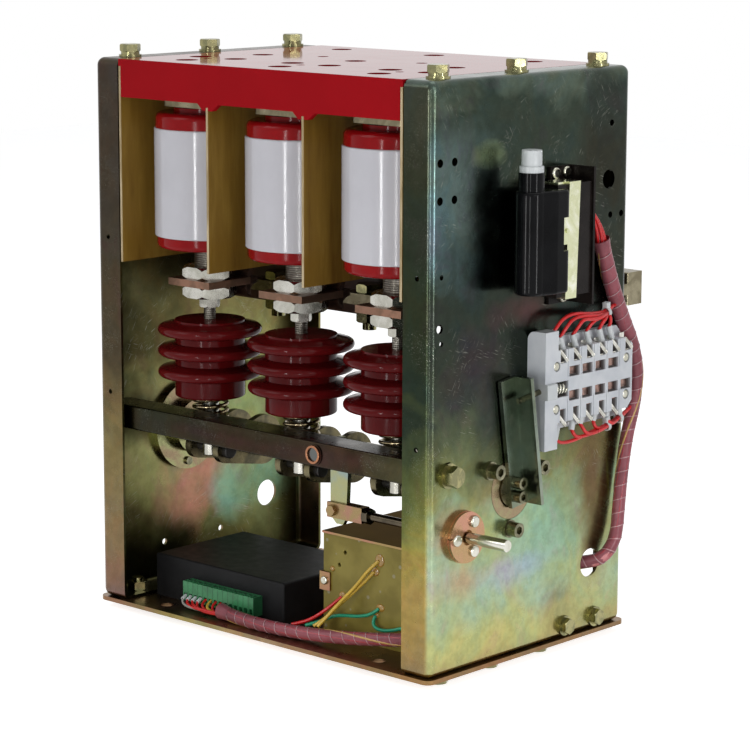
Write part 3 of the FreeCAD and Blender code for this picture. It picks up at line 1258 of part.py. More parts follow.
# Auxiliary switch
SWITCH_END_Y = SWITCH_FRONT_Y + SWITCH_LENGTH
end_y = SWITCH_FRONT_Y + SWITCH_END_LENGTH
switch = box(
    HALF_WIDTH, SWITCH_FRONT_Y, SWITCH_END_BOTTOM, HALF_WIDTH + SWITCH_DEPTH, end_y, SWITCH_END_TOP,
)
switch = switch.makeFillet(SWITCH_CORNER, [
    edge for edge in switch.Edges
    if edge.BoundBox.YLength > 1 and edge.BoundBox.XMax < HALF_WIDTH + 1
    and edge.BoundBox.ZMin > SWITCH_END_TOP - 1
])
switch = switch.fuse(box(
    HALF_WIDTH, end_y, SWITCH_BASE_BOTTOM, HALF_WIDTH + SWITCH_BASE_DEPTH, SWITCH_END_Y,
    SWITCH_BASE_TOP,
))
switch = switch.fuse(box(
    HALF_WIDTH, end_y, SWITCH_BODY_BOTTOM, HALF_WIDTH + SWITCH_DEPTH, SWITCH_END_Y, SWITCH_BODY_TOP,
))
switch = switch.removeSplitter()
switch = switch.makeChamfer(SWITCH_TAPER, [
    edge for edge in switch.Edges
    if edge.BoundBox.XLength > 1 and edge.BoundBox.YMin > SWITCH_END_Y - 1
    and edge.BoundBox.YLength < 0.01 and edge.BoundBox.ZLength < 0.01
])
channel_half = SLIDER_HEIGHT / 2.0 + FIT
switch = switch.cut(box(
    HALF_WIDTH + CHANNEL_FLOOR, SWITCH_FRONT_Y - 1, ADJUSTER_Z - channel_half,
    HALF_WIDTH + SWITCH_DEPTH + 1, SPRING_WALL_Y, ADJUSTER_Z + channel_half,
))
switch = switch.cut(rod(
    (ADJUSTER_X, SPRING_WALL_Y - 1, ADJUSTER_Z), AY, SLIDER_ROD_RADIUS + FIT,
    SLIDER_ROD_LENGTH + SLIDER_STROKE + 3,
))
face_x = HALF_WIDTH + SWITCH_DEPTH
TERMINAL_PLACES = [FIRST_TERMINAL_Y + TERMINAL_PITCH * step for step in range(TERMINAL_COUNT)]
for y in TERMINAL_PLACES:
    for low, high in ((SWITCH_BODY_TOP - NICHE_HEIGHT, SWITCH_BODY_TOP + 1),
                      (SWITCH_BODY_BOTTOM - 1, SWITCH_BODY_BOTTOM + NICHE_HEIGHT)):
        if y > LAST_LOWER_Y and low < ADJUSTER_Z:
            continue
        switch = switch.cut(box(
            face_x - NICHE_DEPTH, y - NICHE_WIDTH / 2, low, face_x + 1, y + NICHE_WIDTH / 2, high,
        ))
WINDOW_PLACES = [y + WINDOW_SHIFT for y in TERMINAL_PLACES[:5]]
for y in WINDOW_PLACES:
    for z in (ADJUSTER_Z + WINDOW_UP, ADJUSTER_Z - WINDOW_DOWN):
        if y > LAST_LOWER_Y - 5 and z > ADJUSTER_Z:
            continue
        switch = switch.cut(box(
            face_x - WINDOW_DEPTH, y - WINDOW_WIDTH / 2, z - WINDOW_HEIGHT / 2,
            face_x + 1, y + WINDOW_WIDTH / 2, z + WINDOW_HEIGHT / 2,
        ))
for y in WINDOW_PLACES:
    joint = y - TERMINAL_PITCH / 2.0
    switch = switch.cut(box(
        face_x - 0.6, joint - 0.25, ADJUSTER_Z + channel_half + 2,
        face_x + 1, joint + 0.25, SWITCH_END_TOP + 1,
    ))
    switch = switch.cut(box(
        face_x - 0.6, joint - 0.25, SWITCH_END_BOTTOM - 1,
        face_x + 1, joint + 0.25, ADJUSTER_Z - channel_half - 2,
    ))
for y, z in SWITCH_SCREWS:
    switch = switch.cut(rod((HALF_WIDTH - 1, y, z), AX, M3 + CLEARANCE, 40))
    switch = switch.cut(rod((face_x - 2.0, y, z), AX, SCREW_SINK_RADIUS, 10))
save("aux_switch_body", switch)
head = box(
    HALF_WIDTH + CHANNEL_FLOOR + FIT, SWITCH_FRONT_Y, ADJUSTER_Z - SLIDER_HEIGHT / 2,
    face_x + SLIDER_PROUD, SWITCH_FRONT_Y + SLIDER_FRONT_LENGTH, ADJUSTER_Z + SLIDER_HEIGHT / 2,
)
head = head.makeFillet(
    0.8, [edge for edge in head.Edges if edge.BoundBox.YLength > 1 and edge.BoundBox.XMin > face_x]
)
head = head.fuse(rod(
    (ADJUSTER_X, SWITCH_FRONT_Y + 5, ADJUSTER_Z), AY, SLIDER_ROD_RADIUS,
    SPRING_WALL_Y - SWITCH_FRONT_Y - 5 + SLIDER_ROD_LENGTH,
)).removeSplitter()
save("aux_slider", head)
save("aux_spring", helix_spring(
    (ADJUSTER_X, SWITCH_FRONT_Y + SLIDER_FRONT_LENGTH + 0.05, ADJUSTER_Z), AY,
    AUX_SPRING_RADIUS, AUX_SPRING_WIRE, AUX_SPRING_TURNS,
    SPRING_WALL_Y - SWITCH_FRONT_Y - SLIDER_FRONT_LENGTH - 0.1,
))
clips = []
for y in TERMINAL_PLACES:
    for sign, level in ((1, SWITCH_BODY_TOP), (-1, SWITCH_BODY_BOTTOM)):
        if y > LAST_LOWER_Y and sign < 0:
            continue
        z0 = level - sign * NICHE_HEIGHT
        z1 = level + sign * CLIP_OUT
        low, high = min(z0, z1), max(z0, z1)
        clip = box(
            face_x - NICHE_DEPTH, y - CLIP_WIDTH / 2, low,
            face_x - NICHE_DEPTH + CLIP_THICKNESS, y + CLIP_WIDTH / 2, high,
        )
        edge_z = z0 if sign > 0 else z0 - CLIP_THICKNESS
        clip = clip.fuse(box(
            face_x - NICHE_DEPTH, y - CLIP_WIDTH / 2, edge_z,
            face_x - 1.0, y + CLIP_WIDTH / 2, edge_z + CLIP_THICKNESS,
        ))
        clips.append(clip.removeSplitter())
for y in WINDOW_PLACES:
    for z in (ADJUSTER_Z + WINDOW_UP, ADJUSTER_Z - WINDOW_DOWN):
        if y > LAST_LOWER_Y - 5 and z > ADJUSTER_Z:
            continue
        clips.append(box(
            face_x - WINDOW_DEPTH, y - WINDOW_WIDTH / 2 + 1, z - WINDOW_HEIGHT / 2 + 1,
            face_x - WINDOW_DEPTH + 1.2, y + WINDOW_WIDTH / 2 - 1, z + WINDOW_HEIGHT / 2 - 1,
        ))
save("aux_contacts", clips)


# Release unit: potted housing with its neck and plug, bracket and strap
body = extrude_xy([
    (RELEASE_X - RELEASE_ROUND, RELEASE_Y), (RELEASE_INNER_X, RELEASE_Y + 11),
    (RELEASE_INNER_X, RELEASE_BACK_Y),
    (RELEASE_OUTER_X, RELEASE_BACK_Y), (RELEASE_OUTER_X, RELEASE_Y + 11),
    (RELEASE_X + RELEASE_ROUND, RELEASE_Y),
], RELEASE_BOTTOM, RELEASE_TOP)
body = body.makeFillet(
    RELEASE_CORNER, vertical_edges(body, lambda ex, ey: ey > RELEASE_Y + 5 and ex > RELEASE_X),
)
body = body.fuse(rod(
    (RELEASE_X, RELEASE_Y, RELEASE_BOTTOM), AZ, RELEASE_ROUND, RELEASE_TOP - RELEASE_BOTTOM,
))
body = body.removeSplitter()
rims = [edge for edge in body.Edges if edge.BoundBox.ZLength < 0.01]
body = body.makeFillet(2.5, rims)
body = body.fuse(rod(
    (RELEASE_X, RELEASE_Y, RELEASE_TOP - 5), AZ, NECK_RADIUS, NECK_TOP - RELEASE_TOP + 5,
))
body = body.cut(rod((RELEASE_X, RELEASE_Y, NECK_TOP - 6), AZ, PLUG_RADIUS + FIT, 20))
body = body.cut(box(
    RELEASE_OUTER_X - 9, RELEASE_BACK_Y - 8, CLIP_TAB_BOTTOM - 2, RELEASE_OUTER_X + 1,
    RELEASE_BACK_Y + 1, CLIP_TAB_TOP + 2,
))
save("release_housing", body.removeSplitter())
plug = rod((RELEASE_X, RELEASE_Y, NECK_TOP - 6), AZ, PLUG_RADIUS, PLUG_TOP - NECK_TOP + 6)
plug = plug.makeFillet(0.5, [far_edge(plug, (RELEASE_X, RELEASE_Y, PLUG_TOP))])
plug = plug.fuse(rod((RELEASE_X, RELEASE_Y, NECK_TOP), AZ, PLUG_COLLAR_RADIUS, PLUG_COLLAR_HEIGHT))
save("release_cap", plug.removeSplitter())
foot = box(
    HALF_WIDTH, BLACK_BRACKET_Y, BLACK_BRACKET_BOTTOM,
    HALF_WIDTH + BLACK_BRACKET_SHEET, BLACK_BRACKET_OUT, BLACK_BRACKET_TOP,
)
foot = foot.fuse(box(
    HALF_WIDTH, BLACK_BRACKET_OUT - BLACK_BRACKET_SHEET, BLACK_BRACKET_BOTTOM,
    HALF_WIDTH + BLACK_BRACKET_FOOT, BLACK_BRACKET_OUT, BLACK_BRACKET_TOP,
))
for y, z in BLACK_SCREWS:
    foot = foot.cut(rod((HALF_WIDTH - 1, y, z), AX, M4 + CLEARANCE, 5))
core = box(
    HALF_WIDTH, RELEASE_BACK_Y, YOKE_BOTTOM, YOKE_OUTER_X - CLIP_SHEET, BLACK_BRACKET_OUT - 0.5,
    YOKE_TOP,
)
foot = foot.fuse(core).removeSplitter()
save("release_bracket", foot)
strap_x = YOKE_OUTER_X - CLIP_SHEET
strap = extrude_yz([
    (CLIP_FRONT_Y, YOKE_BOTTOM - CLIP_SHEET), (CLIP_FRONT_Y + CLIP_FACE, YOKE_BOTTOM - CLIP_SHEET),
    (CLIP_FRONT_Y + CLIP_LEAN + CLIP_FACE, YOKE_TOP + CLIP_SHEET),
    (CLIP_FRONT_Y + CLIP_LEAN, YOKE_TOP + CLIP_SHEET),
], strap_x, YOKE_OUTER_X)
strap = strap.fuse(box(
    HALF_WIDTH + 4, CLIP_FRONT_Y + CLIP_LEAN, YOKE_TOP, YOKE_OUTER_X,
    CLIP_FRONT_Y + CLIP_LEAN + CLIP_FACE, YOKE_TOP + CLIP_SHEET,
))
strap = strap.fuse(box(
    HALF_WIDTH + 4, CLIP_FRONT_Y, YOKE_BOTTOM - CLIP_SHEET, YOKE_OUTER_X, CLIP_FRONT_Y + CLIP_FACE,
    YOKE_BOTTOM,
))
strap = strap.fuse(box(
    strap_x, CLIP_FRONT_Y - CLIP_TAB + 1.5, CLIP_TAB_BOTTOM, YOKE_OUTER_X, CLIP_FRONT_Y + 3,
    CLIP_TAB_TOP,
))
strap = strap.fuse(box(
    HALF_WIDTH + 8, CLIP_FRONT_Y - CLIP_TAB + 1.5, YOKE_TOP, YOKE_OUTER_X - 3, CLIP_FRONT_Y + 6,
    YOKE_TOP + CLIP_SHEET,
))
strap = strap.removeSplitter()
rivet = rod(
    (YOKE_OUTER_X, CLIP_FRONT_Y + 1.0, (CLIP_TAB_BOTTOM + CLIP_TAB_TOP) / 2), AX, RIVET_RADIUS, 1.0,
)
save("release_strap", strap.fuse(rivet).removeSplitter())


# Trip: lever behind the beam, clevis with its threaded rod, and the guide outside
half_top = TRIP_LEVER_TOP_WIDTH / 2
half_low = TRIP_LEVER_BOTTOM_WIDTH / 2
trip = extrude_xz([
    (BUSH_X - half_top, BEAM_Z), (BUSH_X - half_low - 1.5, TRIP_LEVER_BOTTOM_Z + 5),
    (BUSH_X - half_low + 4, TRIP_LEVER_BOTTOM_Z), (BUSH_X + half_low - 4, TRIP_LEVER_BOTTOM_Z),
    (BUSH_X + half_low - 1, TRIP_LEVER_BOTTOM_Z + 5), (BUSH_X + half_top, BEAM_Z),
], TRIP_LEVER_Y, TRIP_LEVER_Y + TRIP_LEVER_THICKNESS)
trip = trip.fuse(rod((BUSH_X, TRIP_LEVER_Y, BEAM_Z), AY, half_top, TRIP_LEVER_THICKNESS))
pin_front = BEAM_Y - BEAM_DEPTH / 2 - BUSH_RIM + 0.3
trip = trip.fuse(rod(
    (BUSH_X, pin_front, BEAM_Z), AY, BUSH_RADIUS, TRIP_LEVER_Y - pin_front + 1,
)).removeSplitter()
CLEVIS_PIN_X = BUSH_X - CLEVIS_PIN_SHIFT
slot_half = CLEVIS_PIN_RADIUS + PIVOT_PLAY
slot = box(
    CLEVIS_PIN_X - slot_half, TRIP_LEVER_Y - 1, TRIP_Z - SLOT_REACH,
    CLEVIS_PIN_X + slot_half, TRIP_LEVER_Y + 5, TRIP_Z + SLOT_REACH,
)
for z in (TRIP_Z - SLOT_REACH, TRIP_Z + SLOT_REACH):
    slot = slot.fuse(rod((CLEVIS_PIN_X, TRIP_LEVER_Y - 1, z), AY, slot_half, 6))
save("trip_lever", trip.cut(slot.removeSplitter()))
clevis_x = BUSH_X - CLEVIS_PIN_SHIFT - CLEVIS_LEFT
clevis_front = TRIP_Y - CLEVIS_INSIDE / 2 - CLEVIS_WALL
clevis_rear = TRIP_Y + CLEVIS_INSIDE / 2 + CLEVIS_WALL
clevis = box(
    clevis_x, clevis_front, TRIP_Z - CLEVIS_HEIGHT / 2, clevis_x + CLEVIS_LENGTH, clevis_rear,
    TRIP_Z + CLEVIS_HEIGHT / 2,
)
clevis = clevis.cut(box(
    clevis_x - 1, clevis_front + CLEVIS_WALL, TRIP_Z - CLEVIS_HEIGHT,
    clevis_x + CLEVIS_LENGTH - CLEVIS_WALL - 2, clevis_rear - CLEVIS_WALL, TRIP_Z + CLEVIS_HEIGHT,
))
clevis = clevis.cut(rod((CLEVIS_PIN_X, clevis_front - 1, TRIP_Z), AY, CLEVIS_PIN_RADIUS + FIT, 20))
thread_x = clevis_x + CLEVIS_LENGTH - CLEVIS_WALL - 1.5
clevis = clevis.cut(rod((thread_x - 5, TRIP_Y, TRIP_Z), AX, TRIP_THREAD_RADIUS + FIT, 20))
clevis_pin = hexagon((CLEVIS_PIN_X, clevis_front, TRIP_Z), AY * -1.0, 7.0, 2.8)
clevis_pin = clevis_pin.fuse(rod(
    (CLEVIS_PIN_X, clevis_front - 1, TRIP_Z), AY, CLEVIS_PIN_RADIUS, clevis_rear - clevis_front + 4,
)).removeSplitter()
clevis_nut = nut(
    (CLEVIS_PIN_X, clevis_rear, TRIP_Z), AY, 7.0, 2.4, CLEVIS_PIN_RADIUS + FIT,
)
save("trip_clevis", [clevis, clevis_pin, clevis_nut])
rod_end = HALF_WIDTH + 2 * GUIDE_LAYER + TRIP_ROD_OUT
push = rod((thread_x, TRIP_Y, TRIP_Z), AX, TRIP_THREAD_RADIUS, TRIP_ROD_STEP_X - thread_x + 1)
push = push.fuse(rod(
    (TRIP_ROD_STEP_X, TRIP_Y, TRIP_Z), AX, TRIP_SHANK_RADIUS, rod_end - 1 - TRIP_ROD_STEP_X,
))
push = push.fuse(rod((rod_end - TRIP_ROD_PUSH, TRIP_Y, TRIP_Z), AX, TRIP_ROD_RADIUS, TRIP_ROD_PUSH))
push = push.makeChamfer(0.4, [far_edge(push, (rod_end, TRIP_Y, TRIP_Z))]).removeSplitter()
push_nut = nut(
    (clevis_x + CLEVIS_LENGTH + 0.3, TRIP_Y, TRIP_Z), AX, 10.0, 5.0, TRIP_THREAD_RADIUS + FIT,
)
save("trip_rod", [push, push_nut])
guide = rod((HALF_WIDTH, TRIP_Y, TRIP_Z), AX, GUIDE_RADIUS, GUIDE_LAYER)
cover = rod((HALF_WIDTH + GUIDE_LAYER, TRIP_Y, TRIP_Z), AX, GUIDE_RADIUS - 0.4, GUIDE_LAYER)
guide = guide.fuse(rod(
    (HALF_WIDTH + GUIDE_LAYER, TRIP_Y, TRIP_Z), AX * -1.0, GUIDE_COLLAR_RADIUS,
    GUIDE_LAYER + GUIDE_COLLAR_LENGTH,
)).removeSplitter()
guide = guide.cut(rod((HALF_WIDTH - 30, TRIP_Y, TRIP_Z), AX, TRIP_SHANK_RADIUS + FIT, 60))
cover = cover.cut(rod((HALF_WIDTH - 30, TRIP_Y, TRIP_Z), AX, TRIP_ROD_RADIUS + 1.2, 60))
cover = cover.cut(box(
    HALF_WIDTH + GUIDE_LAYER - 1, TRIP_Y - GUIDE_RADIUS - 1, TRIP_Z + 1, HALF_WIDTH + 10, TRIP_Y,
    TRIP_Z + 1 + GUIDE_SLIT,
))
for y, z in GUIDE_SCREWS:
    guide = guide.cut(rod((HALF_WIDTH - 5, y, z), AX, M4 + FIT, 20))
    cover = cover.cut(rod((HALF_WIDTH - 5, y, z), AX, M4 + FIT, 20))
save("trip_guide", [guide, cover])


# Control box and its plug-in connector
control = box(
    CONTROL_LEFT, CONTROL_FRONT_Y, BASE_THICKNESS,
    CONTROL_LEFT + CONTROL_WIDTH, CONTROL_FRONT_Y + CONTROL_DEPTH, BASE_THICKNESS + CONTROL_HEIGHT,
)
control = control.makeFillet(CONTROL_EDGE, [
    edge for edge in control.Edges if edge.BoundBox.ZMax > BASE_THICKNESS + 1
])
save("control_box", control)
plug_end = CONNECTOR_LEFT + WAY_COUNT * WAY_PITCH
connector = box(
    CONNECTOR_LEFT, CONTROL_FRONT_Y - CONNECTOR_DEPTH, CONNECTOR_Z, plug_end, CONTROL_FRONT_Y,
    CONNECTOR_Z + CONNECTOR_HEIGHT,
)
front_y = CONTROL_FRONT_Y - CONNECTOR_DEPTH
for way in range(WAY_COUNT):
    x = CONNECTOR_LEFT + (way + 0.5) * WAY_PITCH
    connector = connector.cut(box(
        x - 1.6, front_y - 1, CONNECTOR_Z + 1.5, x + 1.6, front_y + 6, CONNECTOR_Z + 5.5,
    ))
    connector = connector.cut(rod((x, front_y + 3.0, CONNECTOR_Z + CONNECTOR_HEIGHT - 3), AZ, 1.7, 5))
save("terminal_block", connector)


# Closing magnet: folded frame with the circuit board in front, coil and plunger
frame_z = BASE_THICKNESS
right = MAGNET_LEFT + MAGNET_WIDTH
magnet = box(MAGNET_LEFT, MAGNET_FRONT_Y + CIRCUIT_THICKNESS, frame_z, right, MAGNET_REAR_Y, MAGNET_TOP)
magnet = magnet.cut(box(
    MAGNET_LEFT + MAGNET_SHEET, MAGNET_FRONT_Y - 1, frame_z + MAGNET_SHEET,
    right - MAGNET_SHEET, MAGNET_REAR_Y + 1, MAGNET_TOP - MAGNET_SHEET,
))
magnet = magnet.fuse(box(
    MAGNET_LEFT, MAGNET_FRONT_Y - MAGNET_LIP, MAGNET_TOP - MAGNET_SHEET, right, MAGNET_FRONT_Y + 5,
    MAGNET_TOP,
))
magnet = magnet.fuse(box(
    MAGNET_LEFT - TAB_SHIFT, MAGNET_FRONT_Y - MAGNET_SHEET, TAB_BOTTOM, MAGNET_LEFT,
    MAGNET_FRONT_Y + 12, TAB_TOP,
))
magnet = magnet.fuse(box(
    MAGNET_LEFT - TAB_SHIFT, MAGNET_FRONT_Y - MAGNET_SHEET, TAB_BOTTOM, MAGNET_LEFT + TAB_REACH,
    MAGNET_FRONT_Y, TAB_TOP,
))
magnet = magnet.removeSplitter()
magnet = magnet.cut(rod((MAGNET_X, MAGNET_Y, MAGNET_TOP - 5), AZ, PLUNGER_ROD_RADIUS + 1.0, 10))
magnet = magnet.cut(rod((TAB_SCREW_X, MAGNET_FRONT_Y - 5, TAB_SCREW_Z), AY, M3 + FIT, 12))
save("magnet_frame", magnet)
circuit = box(
    MAGNET_LEFT, MAGNET_FRONT_Y, frame_z, right, MAGNET_FRONT_Y + CIRCUIT_THICKNESS,
    MAGNET_TOP - MAGNET_SHEET,
)
for x, z in ((48.7, 63.3), (43.3, 53.8)):
    circuit = circuit.cut(rod((x, MAGNET_FRONT_Y - 1, z), AY, 1.5, 5))
circuit = circuit.cut(rod((TAB_SCREW_X, MAGNET_FRONT_Y - 5, TAB_SCREW_Z), AY, M3 + FIT, 16))
save("circuit_board", circuit)
coil = box(
    MAGNET_X - COIL_WIDTH / 2, MAGNET_Y - COIL_DEPTH / 2, frame_z + MAGNET_SHEET,
    MAGNET_X + COIL_WIDTH / 2, MAGNET_Y + COIL_DEPTH / 2, frame_z + MAGNET_SHEET + COIL_HEIGHT,
)
coil = coil.makeFillet(8.0, vertical_edges(coil, lambda ex, ey: True))
coil = coil.cut(rod((MAGNET_X, MAGNET_Y, CORE_BORE_BOTTOM), AZ, CORE_RADIUS + FIT, COIL_HEIGHT))
save("magnet_coil", coil)
plunger = rod(
    (MAGNET_X, MAGNET_Y, CORE_BORE_BOTTOM + CORE_STROKE_ROOM), AZ, CORE_RADIUS,
    CORE_TOP - CORE_BORE_BOTTOM - CORE_STROKE_ROOM,
)
plunger = plunger.fuse(rod(
    (MAGNET_X, MAGNET_Y, CORE_TOP - 1), AZ, PLUNGER_ROD_RADIUS, SHAFT_Z - 10 - CORE_TOP,
))
plunger = plunger.fuse(box(
    MAGNET_X - PLUNGER_EYE_WIDTH / 2, MAGNET_Y - PLUNGER_EYE_DEPTH / 2, SHAFT_Z - 12,
    MAGNET_X + PLUNGER_EYE_WIDTH / 2, MAGNET_Y + PLUNGER_EYE_DEPTH / 2, SHAFT_Z + 8,
))
reach = MAGNET_ARM_GAP + MAGNET_ARM_THICKNESS + 3.0
plunger = plunger.fuse(rod((MAGNET_X - reach, MAGNET_Y, SHAFT_Z), AX, CRANK_PIN_RADIUS, 2 * reach))
save("magnet_plunger", plunger.removeSplitter())


# Fasteners that hold the fixed parts together
bolts = []
for side in (-1, 1):
    for y in TOP_BOLT_Y:
        bolts.extend(hex_bolt(
            (side * TOP_BOLT_X, y, HEIGHT), AZ, 13.0, 5.3, M8, BOARD_WALL + SHEET + 12,
            [(8.0, 1.6), (6.6, 2.0)],
        ))
        bolts.append(nut((side * TOP_BOLT_X, y, BOARD_BOTTOM - 6.5), AZ, 13.0, 6.5, M8 + FIT))
    for y in BASE_BOLT_Y:
        bolts.extend(hex_bolt(
            (side * BASE_BOLT_X, y, 0), AZ * -1.0, 13.0, 5.3, M8, BASE_THICKNESS + SHEET + 9, [],
        ))
        bolts.append(nut((side * BASE_BOLT_X, y, BASE_THICKNESS + SHEET), AZ, 13.0, 6.5, M8 + FIT))
    out = AX * float(side)
    bolts.extend(hex_bolt(
        (side * HALF_WIDTH, BEAM_Y, BEAM_Z), out, 13.0, 5.3, M8, SHEET + 12,
        [(8.5, 1.6), (6.8, 2.0)],
    ))
    for z in BOARD_SCREW_Z:
        bolts.extend(hex_bolt(
            (side * BOARD_SCREW_X, REAR_BOARD_Y, z), AY * -1.0, 10.0, 4.0, M6,
            REAR_BOARD_THICKNESS + SHEET + 8, [],
        ))
        bolts.append(nut(
            (side * BOARD_SCREW_X, REAR_BOARD_Y + REAR_BOARD_THICKNESS + SHEET, z), AY, 10.0, 5.0,
            M6 + FIT,
        ))
for y in EARTH_BOLT_Y:
    bolts.extend(hex_bolt((HALF_WIDTH, y, EARTH_BOLT_Z), AX, 10.0, 4.0, M6, SHEET + 8, [(7.0, 1.6)]))
for x in POLES:
    bolts.extend(hex_bolt(
        (x, LINK_BOLT_Y, BARS[1]), AZ, 17.0, 6.4, LINK_BOLT_RADIUS,
        BAR_THICKNESS + PAD_THICKNESS + 13.5, [],
    ))
    bolts.append(nut(
        (x, LINK_BOLT_Y, BARS[0] - PAD_THICKNESS - 8.0), AZ, 17.0, 8.0, LINK_BOLT_RADIUS + FIT,
    ))
save("hex_bolts", bolts)
sockets = []
for side in (-1, 1):
    for y, z in BEARING_SCREWS:
        sockets.extend(socket_screw(
            (side * HALF_WIDTH, y, z), AX * float(side), M6, SHEET + BEARING_FLANGE_THICKNESS + 2,
            [(6.2, 1.6), (5.2, 1.6)],
        ))
save("socket_screws", sockets)
pans = []
for y, z in GUIDE_SCREWS:
    pans.append(pan_screw((HALF_WIDTH + 2 * GUIDE_LAYER, y, z), AX, M4, 2 * GUIDE_LAYER + SHEET + 2))
for y, z in BLACK_SCREWS:
    pans.append(pan_screw(
        (HALF_WIDTH + BLACK_BRACKET_SHEET, y, z), AX, M4, BLACK_BRACKET_SHEET + SHEET,
    ))
for y, z in SWITCH_SCREWS:
    pans.append(pan_screw((face_x - 2.0, y, z), AX, M3, SWITCH_DEPTH + SHEET + 1))
pans.append(pan_screw((TAB_SCREW_X, MAGNET_FRONT_Y - MAGNET_SHEET, TAB_SCREW_Z), AY * -1.0, M3, 6))
save("pan_screws", pans)


# Harness and the leads of the circuit board and the switch
harness, smallest, length = cord(HARNESS_ROUTE, HARNESS_RADIUS)
print("harness arc", round(smallest, 1), "run", round(length, 1))
print("volume ratio", round(harness.Volume / (math.pi * HARNESS_RADIUS ** 2 * length), 4))
save("harness", harness)
leads = []
for route in LEADS:
    lead, smallest, length = cord(route, LEAD_RADIUS)
    print("lead arc", round(smallest, 2), "run", round(length, 1), "ratio",
          round(lead.Volume / (math.pi * LEAD_RADIUS ** 2 * length), 4))
    leads.append(lead)
save("leads", leads)
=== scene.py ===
import json
import math

import bpy
from mathutils import Matrix, Vector


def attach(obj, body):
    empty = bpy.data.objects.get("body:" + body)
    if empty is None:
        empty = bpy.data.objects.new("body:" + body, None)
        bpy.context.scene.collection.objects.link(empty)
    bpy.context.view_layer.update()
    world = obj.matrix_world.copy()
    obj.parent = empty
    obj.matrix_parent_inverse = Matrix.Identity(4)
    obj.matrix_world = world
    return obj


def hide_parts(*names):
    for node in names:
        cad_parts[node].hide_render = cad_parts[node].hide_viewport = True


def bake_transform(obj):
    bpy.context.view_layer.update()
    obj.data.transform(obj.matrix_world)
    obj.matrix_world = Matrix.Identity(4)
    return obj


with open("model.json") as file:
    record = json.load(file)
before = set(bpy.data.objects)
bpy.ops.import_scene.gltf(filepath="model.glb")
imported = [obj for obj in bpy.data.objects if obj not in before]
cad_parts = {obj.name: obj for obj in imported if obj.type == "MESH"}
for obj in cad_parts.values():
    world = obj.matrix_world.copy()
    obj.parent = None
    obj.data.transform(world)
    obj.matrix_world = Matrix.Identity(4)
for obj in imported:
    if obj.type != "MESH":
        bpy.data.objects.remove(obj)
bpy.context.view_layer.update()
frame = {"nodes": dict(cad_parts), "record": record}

MM = 0.001
SWITCH_MIDDLE = 0.1825
WAY_PITCH = 0.00508
THREAD_PITCH = 0.0015
NODES = frame["nodes"]
BODY_OF = {}
for body_name, members in frame["record"]["behaviour"]["bodies"].items():
    for member in members:
        BODY_OF[member] = body_name


# Camera and light

LAMPS = (
    ("key_softbox", (-0.9, -1.7, 1.5), (0.0, -0.05, 0.2), (1.1, 1.1), 10.0),
    ("right_softbox", (2.0, -0.5, 0.9), (0.1, 0.0, 0.15), (1.2, 1.2), 8.0),
    ("top_softbox", (0.1, 0.3, 1.9), (0.0, 0.0, 0.3), (1.2, 1.2), 7.5),
    ("left_strip", (0.20, -0.98, 0.22), (0.05, -0.06, 0.22), (0.06, 0.42), 2.0),
    ("middle_strip", (0.62, -0.78, 0.16), (0.05, -0.06, 0.16), (0.03, 0.30), 0.7),
    ("right_strip", (0.98, -0.10, 0.22), (0.05, -0.06, 0.22), (0.06, 0.42), 1.8),
)
AMBIENT = 0.22
FLOOR_GLOW = 0.76
FLOOR_HEIGHT = -0.0054


def place_camera():
    """Camera in front of the right corner, looking slightly down."""
    data = bpy.data.cameras.new("view_camera")
    camera = bpy.data.objects.new("view_camera", data)
    bpy.context.scene.collection.objects.link(camera)
    azimuth = math.radians(42.45)
    pitch = math.radians(10.55)
    forward = Vector((-math.sin(azimuth) * math.cos(pitch), math.cos(azimuth) * math.cos(pitch), -math.sin(pitch)))
    turn = forward.to_track_quat("-Z", "Y").to_matrix().to_4x4()
    roll = Matrix.Rotation(math.radians(0.18), 4, "Z")
    camera.matrix_world = Matrix.Translation((1.28445, -1.38629, 0.52375)) @ turn @ roll
    data.lens = 130.8
    data.sensor_width = 36.0
    data.clip_end = 60.0
    bpy.context.scene.camera = camera
    bpy.context.scene.view_settings.view_transform = "Standard"


def hang_lamps():
    """Three softboxes, and three upright strips that draw the thin highlights."""
    for name, place, target, size, power in LAMPS:
        data = bpy.data.lights.new(name, "AREA")
        data.shape = "RECTANGLE"
        data.size, data.size_y = size
        data.energy = power
        lamp = bpy.data.objects.new(name, data)
        lamp.location = place
        lamp.rotation_euler = (Vector(target) - Vector(place)).to_track_quat("-Z", "Y").to_euler()
        bpy.context.scene.collection.objects.link(lamp)


def looking_rays(tree):
    """One for camera, transmission and glossy rays, zero for the others."""
    paths = tree.nodes.new("ShaderNodeLightPath")
    seen = joined(tree, "MAXIMUM", paths.outputs["Is Camera Ray"], paths.outputs["Is Transmission Ray"])
    return joined(tree, "MAXIMUM", seen, paths.outputs["Is Glossy Ray"])


def studio():
    """White surroundings for camera and reflections, soft light on the object."""
    world = bpy.data.worlds.new("white_studio")
    bpy.context.scene.world = world
    world.use_nodes = True
    tree = world.node_tree
    tree.nodes.clear()
    blend = tree.nodes.new("ShaderNodeMixShader")
    tree.links.new(looking_rays(tree), blend.inputs[0])
    for index, (colour, strength) in enumerate((((0.95, 0.97, 1.0), AMBIENT), ((1.0, 1.0, 1.0), 1.0))):
        light = tree.nodes.new("ShaderNodeBackground")
        light.inputs["Color"].default_value = (*colour, 1.0)
        light.inputs["Strength"].default_value = strength
        tree.links.new(light.outputs[0], blend.inputs[index + 1])
    out = tree.nodes.new("ShaderNodeOutputWorld")
    tree.links.new(blend.outputs[0], out.inputs["Surface"])
    hang_lamps()


